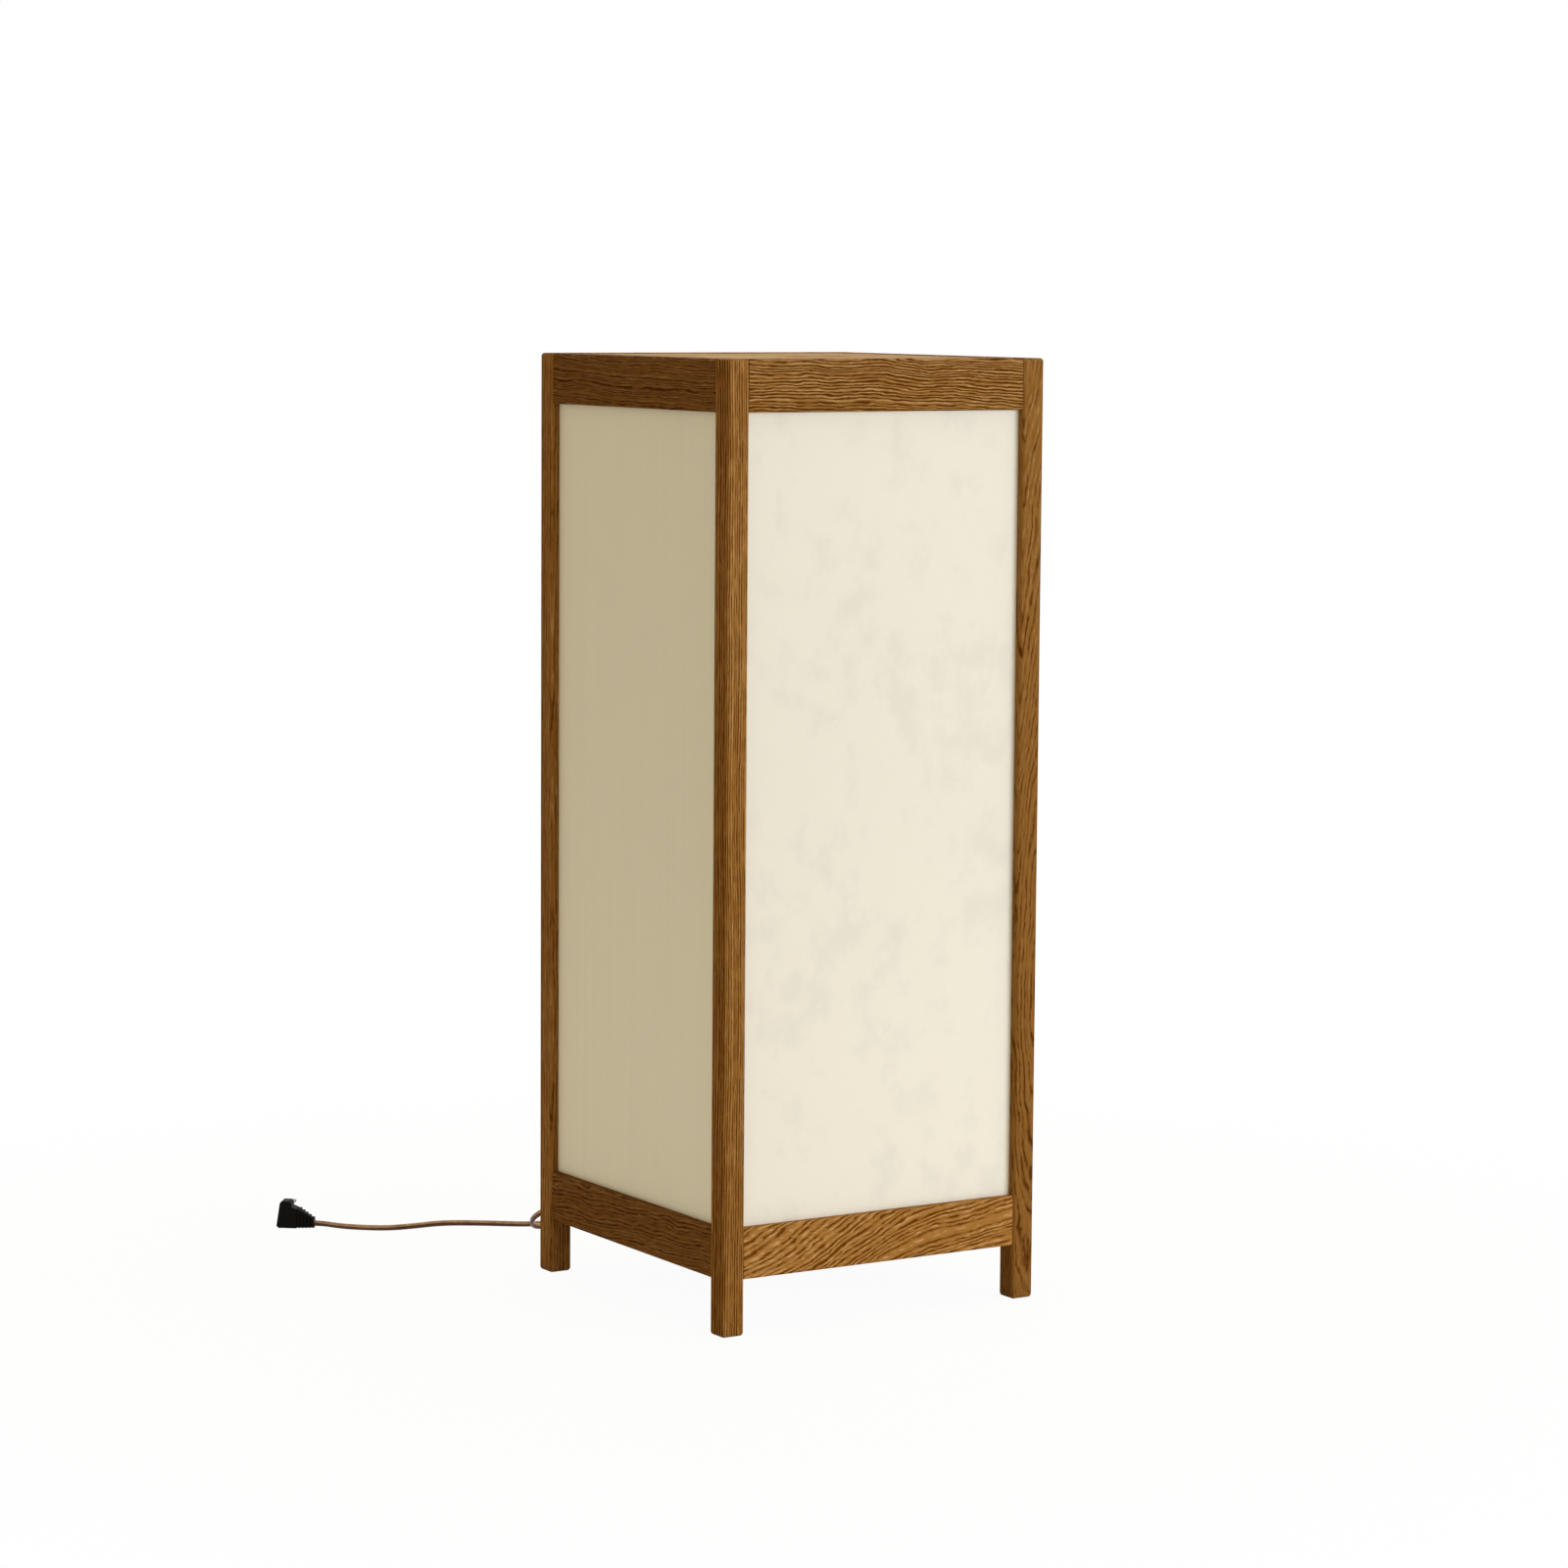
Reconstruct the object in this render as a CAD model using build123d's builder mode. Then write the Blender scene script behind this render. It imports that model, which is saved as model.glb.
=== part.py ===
from build123d import *
import math
import os

# Andon floor lamp: an oak frame with four paper panels, a lift-out top board, a lampholder on a
# bar across the open underside, and a thin flat lead with a switch and a plug.
# Origin: on the floor under the middle of the frame.  +Z is up, -Y is the front, +X is the right.
# All sizes are millimetres.

os.makedirs("parts", exist_ok=True)

# ---- frame -------------------------------------------------------------------------------------
lamp_height = 650.0
lamp_width = 252.0  # outside of the posts, the same both ways
post_side = 17.0
post_edge_radius = 2.5
post_top_radius = 2.4
foot_radius = 2.4
rail_height = 35.0
rail_thickness = 14.0
rail_setback = 1.0  # the rails' outer faces lie this far behind the posts'
rail_edge_radius = 1.5
foot_height = 38.0  # from the floor to the lower rails
tenon_thickness = 6.0
mitre_gap = 0.5  # between the two tenons that meet inside a post
joint_gap = 0.1  # round each tenon in its mortise

# ---- paper panels --------------------------------------------------------------------------------
panel_thickness = 1.5
panel_recess = 6.0  # from the posts' outer faces to the paper
groove_depth = 5.0
groove_gap = 0.2  # between the paper and each wall of its groove
panel_edge_gap = 0.5  # between the paper's edge and the bottom of its groove
tenon_wall = 1.0  # wood between a groove and the tenon beside it

# ---- top board -----------------------------------------------------------------------------------
lid_thickness = 9.0
lid_drop = 0.5  # below the tops of the posts
lid_gap = 1.0  # round the board
lid_edge_radius = 1.0
finger_hole_radius = 12.0
finger_hole_chamfer = 1.0
lid_cleat_width = 8.0
lid_cleat_height = 8.0
lid_cleat_gap = 0.3  # at the ends of the cleats
brad_radius = 0.8
brad_length = 14.0
brad_inset = 30.0  # from a cleat's end to its brad
brad_gap = 0.05

# ---- bar that carries the lampholder -----------------------------------------------------------------
bar_width = 60.0
bar_thickness = 10.0
bar_end_gap = 0.5
bar_edge_radius = 1.0
bar_cleat_side = 12.0
screw_shank_radius = 1.75
screw_head_radius = 3.5
screw_head_height = 2.4
screw_length = 20.0
screw_slot_width = 0.9
screw_slot_depth = 1.0
screw_gap = 0.05
bar_screw_offset = 20.0  # to each side of the middle
bar_screw_inset = 6.0  # from the bar's end
cleat_screw_offset = 8.0

# ---- lampholder ----------------------------------------------------------------------------------
holder_flange_radius = 27.0
holder_flange_height = 6.0
holder_flange_edge_radius = 1.5
holder_boss_height = 8.0
holder_shell_edge_radius = 1.0
holder_shell_radius = 19.0
holder_shell_wall = 2.5
holder_shell_height = 42.0
holder_shell_lip = 1.2
holder_fit_gap = 0.1
holder_screw_radius = 1.5
holder_screw_head_radius = 2.8
holder_screw_head_height = 2.0
holder_screw_length = 13.0
holder_screw_offset = 23.0
sleeve_radius = 13.7  # inside
sleeve_wall = 0.5
sleeve_height = 27.0
sleeve_rim = 1.2
contact_width = 5.0
contact_length = 11.0
contact_thickness = 0.8
contact_rise = 2.2

# ---- bulb ------------------------------------------------------------------------------------------
bulb_cap_radius = 13.2
bulb_cap_height = 24.0
bulb_thread_depth = 0.7
bulb_thread_pitch = 3.6
bulb_cap_foot_inset = 0.8
bulb_insulator_height = 2.5
bulb_insulator_shoulder = 1.5  # round the contact
bulb_insulator_inset = 1.0  # inside the root of the thread
bulb_contact_radius = 4.5
bulb_contact_height = 1.5
bulb_contact_gap = 0.3  # above the holder's contact at rest
bulb_housing_radius = 24.0
bulb_housing_height = 30.0
bulb_housing_foot_step = 0.9  # outside the root of the thread
bulb_globe_radius = 30.0
bulb_globe_rim_step = 0.4  # inside the housing's brim
bulb_neck_height = 18.0  # from the housing to the globe's widest ring

# ---- lead ------------------------------------------------------------------------------------------
cord_diameter = 4.2
cord_gap = 0.05
lead_end_gap = 1.0  # between the lead's end and the holder's boss
bush_flange_radius = 6.0
bush_flange_thickness = 2.0
bush_body_radius = 3.5
bush_taper_length = 18.0
bush_root_radius = 4.3
bush_tip_radius = 2.9
bush_steps = 4  # grooved steps along the taper
bush_groove_depth = 0.5
clip_width = 8.0
clip_span = 24.0
clip_thickness = 1.5
clip_screw_offset = 8.5
clip_screw_radius = 1.2
clip_screw_head_radius = 2.4
clip_screw_head_height = 1.6
clip_screw_length = 8.0
clip_distance = 70.0  # from the middle of the lamp to the clip

# ---- switch on the lead ------------------------------------------------------------------------------
switch_x = 18.0
switch_y = 243.0
switch_length = 62.0
switch_width = 24.0
switch_half_height = 8.5
switch_corner_radius = 8.0
switch_edge_radius = 2.0
switch_wall = 1.8
rocker_length = 19.4
rocker_width = 11.4
rocker_slot_gap = 0.8  # round the rocker, at the ends
rocker_side_gap = 0.3
rocker_tilt = 8.0  # degrees to each side of level
rocker_end_height = 4.6  # above the pin
rocker_waist_height = 3.4
rocker_lip = 2.0
rocker_foot_depth = 2.4
rocker_foot_length = 8.0
rocker_pin_radius = 1.2
rocker_pin_gap = 0.05
rocker_pin_drop = 4.0  # from the switch's top to the pin
bearing_thickness = 2.0
bearing_length = 7.0
switch_screw_radius = 1.1
switch_screw_head_radius = 2.0
switch_screw_head_height = 1.4
switch_screw_length = 11.0
switch_screw_x = 19.0
switch_screw_y = 6.6
switch_boss_radius = 2.9
cord_grip_length = 6.0  # of lead inside each end of the switch
leaf_length = 12.0
leaf_width = 4.0
leaf_thickness = 0.6
leaf_x = 4.5  # from the pin to each leaf's raised button

# ---- coil and plug -----------------------------------------------------------------------------------
coil_x = 97.5
coil_y = 194.0
coil_turn_spacing = 4.3
coil_middle_radius = 23.0
coil_columns = 3
coil_rows = 3
coil_corner_radius = 2.0
tie_thickness = 0.8
tie_gap = 0.1
tie_arc = 20.0  # degrees of the coil that the tie covers
tie_angle = 100.0
plug_entry_x = -201.5
plug_entry_y = 333.5
plug_heading = 142.0  # degrees from +X to the way the plug points away from its lead
plug_run = 7.5  # the lead's last straight run, in line with the plug
plug_thickness = 12.0
plug_length = 15.1
plug_height = 20.4
plug_back_slope = 2.6
plug_corner = 1.6
plug_step_length = 3.9  # of the lower part beside the strain relief
plug_step_height = 14.6
plug_edge_radius = 1.2
plug_relief_length = 12.5
plug_relief_radius = 3.4
plug_relief_ribs = 5
plug_rib_groove_length = 0.7
plug_rib_groove_depth = 0.6
blade_thickness = 1.5
blade_width = 6.3
blade_length = 17.0
blade_spacing = 12.7
blade_inset = 6.4  # from the plug's back to the middle of its blades
blade_lowest = 3.05  # above the plug's bottom edge
blade_hole_radius = 1.5
blade_hole_inset = 3.2  # from the blade's tip
blade_corner = 1.2
blade_seat_depth = 6.0

# ---- places that follow from the sizes above ---------------------------------------------------------
half_width = lamp_width / 2
rail_inner = rail_setback + rail_thickness  # inward from the posts' outer faces
rail_length = lamp_width - 2 * post_side
lower_rail_top = foot_height + rail_height
upper_rail_bottom = lamp_height - rail_height
tenon_outer = rail_setback + (rail_thickness - tenon_thickness) / 2
tenon_inner = tenon_outer + tenon_thickness
tenon_shoulder = groove_depth + tenon_wall
groove_outer = panel_recess - groove_gap
groove_width = panel_thickness + 2 * groove_gap
cord_radius = cord_diameter / 2
bar_bottom = foot_height + bar_cleat_side
bar_top = bar_bottom + bar_thickness
lead_height = bar_top + cord_radius + cord_gap
rail_outer_face = half_width - rail_setback
rail_inner_face = half_width - rail_inner
lead_exit = rail_outer_face + bush_flange_thickness + bush_taper_length

side_names = ("front", "right", "rear", "left")
sides = {name: index * 360 / len(side_names) for index, name in enumerate(side_names)}


def side_plane(turn, height=0.0):
    """The level plane of one side, with its own X along that side and its -Y pointing out."""
    angle = math.radians(turn)
    return Plane(origin=(0, 0, height), x_dir=(math.cos(angle), math.sin(angle), 0), z_dir=(0, 0, 1))


def finish_piece(piece, name):
    """Labels a finished piece and writes it as its own node."""
    piece.part.label = name
    export_step(piece.part, f"parts/{name}.step")


# ======================================================================================================
# Frame
# ======================================================================================================
def make_post(name, sx, sy):
    """A corner post with a groove and two mortises in each of its two inner faces."""

    def cut(a0, a1, b0, b1, z0, z1):
        """Cuts a block given by its distances inward from the post's outer X and Y faces."""
        centre = (sx * (half_width - (a0 + a1) / 2), sy * (half_width - (b0 + b1) / 2), (z0 + z1) / 2)
        with Locations(centre):
            Box(a1 - a0, b1 - b0, z1 - z0, mode=Mode.SUBTRACT)

    with BuildPart() as post:
        with BuildSketch():
            with Locations((sx * (half_width - post_side / 2), sy * (half_width - post_side / 2))):
                Rectangle(post_side, post_side)
        extrude(amount=lamp_height)
        fillet(post.edges().filter_by(Axis.Z), post_edge_radius)
        fillet(post.faces().sort_by(Axis.Z)[-1].edges(), post_top_radius)
        fillet(post.faces().sort_by(Axis.Z)[0].edges(), foot_radius)
        near = tenon_outer - joint_gap
        far = tenon_inner + joint_gap
        for bottom in (foot_height, upper_rail_bottom):
            z0 = bottom + tenon_shoulder - joint_gap
            z1 = bottom + rail_height - tenon_shoulder + joint_gap
            cut(near, post_side, near, far, z0, z1)
            cut(near, far, near, post_side, z0, z1)
        z0 = lower_rail_top - groove_depth
        z1 = upper_rail_bottom + groove_depth
        inner = post_side - groove_depth
        cut(inner, post_side, groove_outer, groove_outer + groove_width, z0, z1)
        cut(groove_outer, groove_outer + groove_width, inner, post_side, z0, z1)
    finish_piece(post, name)


def make_rail(name, turn, bottom, groove_at_top, bore=None):
    """A rail with a mitred tenon at each end, a groove for the paper and holes for its fastenings."""
    level = side_plane(turn)
    along = Axis((0, 0, 0), level.x_dir)
    with BuildPart(level) as rail:
        with BuildSketch(level.offset(bottom)):
            with Locations((0, -half_width + rail_setback + rail_thickness / 2)):
                Rectangle(rail_length, rail_thickness)
        extrude(amount=rail_height)
        fillet(rail.edges().filter_by(along), rail_edge_radius)
        for end in (-1, 1):
            with BuildSketch(level.offset(bottom + tenon_shoulder)):
                with BuildLine():
                    Polyline(
                        (end * rail_length / 2, -half_width + tenon_outer),
                        (end * rail_length / 2, -half_width + tenon_inner),
                        (end * (half_width - tenon_inner - mitre_gap), -half_width + tenon_inner),
                        (end * (half_width - tenon_outer - mitre_gap), -half_width + tenon_outer),
                        close=True,
                    )
                make_face()
            extrude(amount=rail_height - 2 * tenon_shoulder)
        groove_middle = bottom + rail_height - groove_depth / 2 if groove_at_top else bottom + groove_depth / 2
        with Locations((0, -half_width + groove_outer + groove_width / 2, groove_middle)):
            Box(rail_length, groove_width, groove_depth, mode=Mode.SUBTRACT)
        for x, z, radius, inner_depth in bore or []:
            with Locations((x, -half_width + rail_inner - inner_depth / 2, z)):
                Cylinder(radius, inner_depth, rotation=(90, 0, 0), mode=Mode.SUBTRACT)
    finish_piece(rail, name)


def make_panel(name, turn):
    """A sheet of laminated paper, held in the grooves of two posts and two rails."""
    width = lamp_width - 2 * (post_side - groove_depth + panel_edge_gap)
    bottom = lower_rail_top - groove_depth + panel_edge_gap
    top = upper_rail_bottom + groove_depth - panel_edge_gap
    level = side_plane(turn, bottom)
    with BuildPart(level) as panel:
        with BuildSketch(level):
            with Locations((0, -half_width + panel_recess + panel_thickness / 2)):
                Rectangle(width, panel_thickness)
        extrude(amount=top - bottom)
    finish_piece(panel, name)


for side_y, sy in (("front", -1), ("rear", 1)):
    for side_x, sx in (("left", -1), ("right", 1)):
        make_post(f"post_{side_y}_{side_x}", sx, sy)

lid_bottom = lamp_height - lid_drop - lid_thickness
lid_cleat_middle = lid_bottom - lid_cleat_height / 2
brad_reach = brad_length - lid_cleat_width  # of a brad inside the rail
screw_reach = screw_length - bar_cleat_side  # of a cleat screw inside the rail
long_cleat = rail_length - 2 * lid_cleat_gap
short_cleat = lamp_width - 2 * (rail_inner + lid_cleat_width + lid_cleat_gap)
cleat_lengths = {"front": long_cleat, "right": short_cleat, "rear": long_cleat, "left": short_cleat}
bar_cleat_middle = foot_height + bar_cleat_side / 2

for side, turn in sides.items():
    brad_x = cleat_lengths[side] / 2 - brad_inset
    brad_bores = [(x, lid_cleat_middle, brad_radius + brad_gap, brad_reach) for x in (-brad_x, brad_x)]
    make_rail(f"upper_rail_{side}", turn, upper_rail_bottom, False, brad_bores)
    lower_bores = []
    if side in ("front", "rear"):
        for x in (-cleat_screw_offset, cleat_screw_offset):
            lower_bores.append((x, bar_cleat_middle, screw_shank_radius + screw_gap, screw_reach))
    if side == "rear":
        lower_bores.append((0, lead_height, bush_body_radius + cord_gap, rail_thickness))
    make_rail(f"lower_rail_{side}", turn, foot_height, True, lower_bores)
    make_panel(f"paper_panel_{side}", turn)

# ======================================================================================================
# Top board and what it rests on
# ======================================================================================================
lid_side = lamp_width - 2 * (rail_inner + lid_gap)
corner_notch = post_side - rail_inner  # the posts stand this far inside the rails

with BuildPart() as top_board:
    with BuildSketch(Plane.XY.offset(lid_bottom)):
        Rectangle(lid_side, lid_side)
        if corner_notch > 0:
            with GridLocations(lid_side - corner_notch, lid_side - corner_notch, 2, 2):
                Rectangle(corner_notch, corner_notch, mode=Mode.SUBTRACT)
        Circle(finger_hole_radius, mode=Mode.SUBTRACT)
    extrude(amount=lid_thickness)
    hole_edges = top_board.edges().filter_by(GeomType.CIRCLE)
    chamfer(hole_edges, finger_hole_chamfer)
    board_edges = top_board.faces().sort_by(Axis.Z)[-1].outer_wire().edges()
    chamfer(board_edges, lid_edge_radius)
finish_piece(top_board, "top_board")

for side, turn in sides.items():
    level = side_plane(turn, lid_bottom - lid_cleat_height)
    with BuildPart(level) as lid_cleat:
        with BuildSketch(level):
            with Locations((0, -half_width + rail_inner + lid_cleat_width / 2)):
                Rectangle(cleat_lengths[side], lid_cleat_width)
        extrude(amount=lid_cleat_height)
        brad_x = cleat_lengths[side] / 2 - brad_inset
        for x in (-brad_x, brad_x):
            with Locations((x, -half_width + rail_inner + lid_cleat_width / 2, lid_cleat_height / 2)):
                Cylinder(brad_radius + brad_gap, lid_cleat_width, rotation=(90, 0, 0), mode=Mode.SUBTRACT)
    finish_piece(lid_cleat, f"lid_cleat_{side}")

with BuildPart() as lid_cleat_brads:
    for side, turn in sides.items():
        brad_x = cleat_lengths[side] / 2 - brad_inset
        brad_plane = Plane(
            origin=side_plane(turn).from_local_coords(
                Vector(0, -half_width + rail_inner + lid_cleat_width, lid_cleat_middle)
            ),
            x_dir=side_plane(turn).x_dir,
            z_dir=-side_plane(turn).y_dir,
        )
        with BuildSketch(brad_plane):
            with Locations((-brad_x, 0), (brad_x, 0)):
                Circle(brad_radius)
        extrude(amount=brad_length)
finish_piece(lid_cleat_brads, "lid_cleat_brads")

# ======================================================================================================
# Bar across the open underside
# ======================================================================================================
bar_half_length = rail_inner_face - bar_end_gap
bar_screw_y = bar_half_length - bar_screw_inset
bar_screw_places = [(x, y) for x in (-bar_screw_offset, bar_screw_offset) for y in (-bar_screw_y, bar_screw_y)]
clip_screw_places = [(-clip_screw_offset, clip_distance), (clip_screw_offset, clip_distance)]
holder_screw_places = [(-holder_screw_offset, 0), (holder_screw_offset, 0)]
holder_screw_depth = holder_screw_length - holder_flange_height  # below the bar's top
clip_screw_depth = clip_screw_length - clip_thickness


def cut_screw_hole(x, y, top, depth, shank_radius, head_radius, head_height):
    """Cuts a countersunk hole for one upright screw out of the piece being built."""
    with Locations((x, y, top - depth / 2)):
        Cylinder(shank_radius + screw_gap, depth, mode=Mode.SUBTRACT)
    with Locations((x, y, top - head_height / 2)):
        Cone(shank_radius + screw_gap, head_radius + screw_gap, head_height, mode=Mode.SUBTRACT)


with BuildPart() as base_bar:
    with BuildSketch(Plane.XY.offset(bar_bottom)):
        Rectangle(bar_width, 2 * bar_half_length)
    extrude(amount=bar_thickness)
    fillet(base_bar.edges().filter_by(Axis.Y), bar_edge_radius)
    for x, y in bar_screw_places:
        cut_screw_hole(
            x, y, bar_top, bar_thickness, screw_shank_radius, screw_head_radius, screw_head_height
        )
    for x, y in holder_screw_places:
        with Locations((x, y, bar_top - holder_screw_depth / 2)):
            Cylinder(holder_screw_radius + screw_gap, holder_screw_depth, mode=Mode.SUBTRACT)
    for x, y in clip_screw_places:
        with Locations((x, y, bar_top - clip_screw_depth / 2)):
            Cylinder(clip_screw_radius + screw_gap, clip_screw_depth, mode=Mode.SUBTRACT)
finish_piece(base_bar, "base_bar")

for side in ("front", "rear"):
    level = side_plane(sides[side], foot_height)
    cleat_y = -half_width + rail_inner + bar_cleat_side / 2
    screw_y = -bar_screw_y
    pilot_depth = screw_length - bar_thickness
    with BuildPart(level) as bar_cleat:
        with BuildSketch(level):
            with Locations((0, cleat_y)):
                Rectangle(bar_width, bar_cleat_side)
        extrude(amount=bar_cleat_side)
        for x in (-bar_screw_offset, bar_screw_offset):
            with Locations((x, screw_y, bar_cleat_side - pilot_depth / 2)):
                Cylinder(screw_shank_radius + screw_gap, pilot_depth, mode=Mode.SUBTRACT)
        for x in (-cleat_screw_offset, cleat_screw_offset):
            with Locations((x, cleat_y, bar_cleat_side / 2)):
                Cylinder(screw_shank_radius + screw_gap, bar_cleat_side, rotation=(90, 0, 0), mode=Mode.SUBTRACT)
            with Locations((x, cleat_y + bar_cleat_side / 2 - screw_head_height / 2, bar_cleat_side / 2)):
                Cone(
                    screw_head_radius + screw_gap,
                    screw_shank_radius + screw_gap,
                    screw_head_height,
                    rotation=(90, 0, 0),
                    mode=Mode.SUBTRACT,
                )
    finish_piece(bar_cleat, f"bar_cleat_{side}")


def make_screws(name, planes, length, head_radius, head_height, shank_radius):
    """Countersunk wood screws, one for each plane, whose origin and Z are the middle and way of its head."""
    with BuildPart() as screws:
        for plane in planes:
            with BuildSketch(plane.offset(-length)):
                Circle(shank_radius)
            extrude(amount=length)
            with BuildSketch(plane):
                Circle(head_radius)
            with BuildSketch(plane.offset(-head_height)):
                Circle(shank_radius)
            loft()
        for plane in planes:
            with BuildSketch(plane.offset(-screw_slot_depth)):
                Rectangle(1.5 * head_radius, screw_slot_width)
                Rectangle(screw_slot_width, 1.5 * head_radius)
            extrude(amount=screw_slot_depth, mode=Mode.SUBTRACT)
    finish_piece(screws, name)


bar_screw_planes = [Plane(origin=(x, y, bar_top)) for x, y in bar_screw_places]
make_screws(
    "bar_screws", bar_screw_planes, screw_length, screw_head_radius, screw_head_height, screw_shank_radius
)
cleat_screw_planes = []
for side in ("front", "rear"):
    level = side_plane(sides[side])
    for x in (-cleat_screw_offset, cleat_screw_offset):
        place = level.from_local_coords(
            Vector(x, -half_width + rail_inner + bar_cleat_side, bar_cleat_middle)
        )
        cleat_screw_planes.append(Plane(origin=place, x_dir=level.x_dir, z_dir=level.y_dir))
make_screws(
    "cleat_screws", cleat_screw_planes, screw_length, screw_head_radius, screw_head_height, screw_shank_radius
)

# ======================================================================================================
# Lampholder
# ======================================================================================================
flange_top = bar_top + holder_flange_height
boss_top = flange_top + holder_boss_height
shell_inner = holder_shell_radius - holder_shell_wall
boss_radius = shell_inner - holder_fit_gap
channel_width = cord_diameter + 2 * cord_gap
channel_height = cord_diameter + cord_gap

with BuildPart() as lampholder_base:
    with BuildSketch(Plane.XY.offset(bar_top)):
        Circle(holder_flange_radius)
    extrude(amount=holder_flange_height)
    fillet(lampholder_base.faces().sort_by(Axis.Z)[-1].edges(), holder_flange_edge_radius)
    with BuildSketch(Plane.XY.offset(flange_top)):
        Circle(boss_radius)
    extrude(amount=holder_boss_height)
    with BuildSketch(Plane.XY.offset(bar_top)):
        with Locations((0, boss_radius + holder_flange_radius / 2)):
            Rectangle(channel_width, holder_flange_radius)
    extrude(amount=channel_height, mode=Mode.SUBTRACT)
    for x, y in holder_screw_places:
        cut_screw_hole(
            x,
            y,
            flange_top,
            holder_flange_height,
            holder_screw_radius,
            holder_screw_head_radius,
            holder_screw_head_height,
        )
finish_piece(lampholder_base, "lampholder_base")

with BuildPart() as lampholder_shell:
    with BuildSketch(Plane.XZ):
        with BuildLine():
            Polyline(
                (shell_inner, flange_top),
                (holder_shell_radius, flange_top),
                (holder_shell_radius, flange_top + holder_shell_height),
                (shell_inner - holder_shell_lip, flange_top + holder_shell_height),
                (shell_inner - holder_shell_lip, flange_top + holder_shell_height - holder_shell_lip),
                (shell_inner, flange_top + holder_shell_height - 2 * holder_shell_lip),
                close=True,
            )
        make_face()
    revolve(axis=Axis.Z)
    fillet(lampholder_shell.faces().sort_by(Axis.Z)[-1].outer_wire().edges(), holder_shell_edge_radius)
finish_piece(lampholder_shell, "lampholder_shell")

with BuildPart() as lampholder_sleeve:
    with BuildSketch(Plane.XZ):
        with BuildLine():
            Polyline(
                (sleeve_radius, boss_top),
                (sleeve_radius + sleeve_wall + sleeve_rim, boss_top),
                (sleeve_radius + sleeve_wall + sleeve_rim, boss_top + sleeve_wall),
                (sleeve_radius + sleeve_wall, boss_top + sleeve_wall),
                (sleeve_radius + sleeve_wall, boss_top + sleeve_height),
                (sleeve_radius, boss_top + sleeve_height),
                close=True,
            )
        make_face()
    revolve(axis=Axis.Z)
finish_piece(lampholder_sleeve, "lampholder_sleeve")

contact_top = boss_top + contact_rise + contact_thickness
with BuildPart() as lampholder_contact:
    with BuildSketch(Plane.XZ.offset(-contact_width / 2)):
        with BuildLine():
            Polyline(
                (-contact_length / 2, boss_top),
                (0, boss_top),
                (contact_length / 2, boss_top + contact_rise),
                (contact_length / 2, contact_top),
                (-contact_length / 6, contact_top),
                (-contact_length / 6, contact_top - contact_thickness),
                (contact_length / 4, contact_top - contact_thickness),
                (-contact_thickness / 2, boss_top + contact_thickness),
                (-contact_length / 2, boss_top + contact_thickness),
                close=True,
            )
        make_face()
    extrude(amount=contact_width)
finish_piece(lampholder_contact, "lampholder_contact")

holder_screw_planes = [Plane(origin=(x, y, flange_top)) for x, y in holder_screw_places]
make_screws(
    "lampholder_screws",
    holder_screw_planes,
    holder_screw_length,
    holder_screw_head_radius,
    holder_screw_head_height,
    holder_screw_radius,
)

# ======================================================================================================
# Bulb
# ======================================================================================================
bulb_bottom = contact_top + bulb_contact_gap
insulator_bottom = bulb_bottom + bulb_contact_height
cap_bottom = insulator_bottom + bulb_insulator_height
cap_top = cap_bottom + bulb_cap_height
housing_top = cap_top + bulb_housing_height
globe_centre = housing_top + bulb_neck_height


def make_revolved(name, points):
    """A solid of revolution about the lamp's vertical axis from its half profile."""
    with BuildPart() as turned:
        with BuildSketch(Plane.XZ):
            with BuildLine():
                Polyline(*points, close=True)
            make_face()
        revolve(axis=Axis.Z)
    finish_piece(turned, name)


make_revolved(
    "bulb_contact",
    [
        (0, bulb_bottom),
        (bulb_contact_radius * 0.7, bulb_bottom),
        (bulb_contact_radius, insulator_bottom),
        (0, insulator_bottom),
    ],
)
make_revolved(
    "bulb_insulator",
    [
        (0, insulator_bottom),
        (bulb_contact_radius + bulb_insulator_shoulder, insulator_bottom),
        (bulb_cap_radius - bulb_thread_depth - bulb_insulator_inset, cap_bottom),
        (0, cap_bottom),
    ],
)

root_radius = bulb_cap_radius - bulb_thread_depth
thread_turns = int(bulb_cap_height / bulb_thread_pitch) - 1
cap_profile = [(0, cap_bottom), (root_radius - bulb_cap_foot_inset, cap_bottom)]
for turn in range(thread_turns):
    ridge = cap_bottom + (turn + 0.5) * bulb_thread_pitch
    cap_profile.append((root_radius, ridge))
    cap_profile.append((bulb_cap_radius, ridge + 0.5 * bulb_thread_pitch))
cap_profile += [
    (root_radius, cap_bottom + (thread_turns + 0.5) * bulb_thread_pitch),
    (root_radius, cap_top),
    (0, cap_top),
]
make_revolved("bulb_cap", cap_profile)

with BuildPart() as bulb_housing:
    with BuildSketch(Plane.XZ):
        with BuildLine():
            foot = Line((0, cap_top), (root_radius + bulb_housing_foot_step, cap_top))
            flank = Spline(
                foot @ 1,
                (bulb_housing_radius * 0.75, cap_top + bulb_housing_height * 0.45),
                (bulb_housing_radius, housing_top),
                tangents=((0.15, 1), (0.45, 1)),
            )
            brim = Line(flank @ 1, (0, housing_top))
            Line(brim @ 1, foot @ 0)
        make_face()
    revolve(axis=Axis.Z)
finish_piece(bulb_housing, "bulb_housing")

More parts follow.
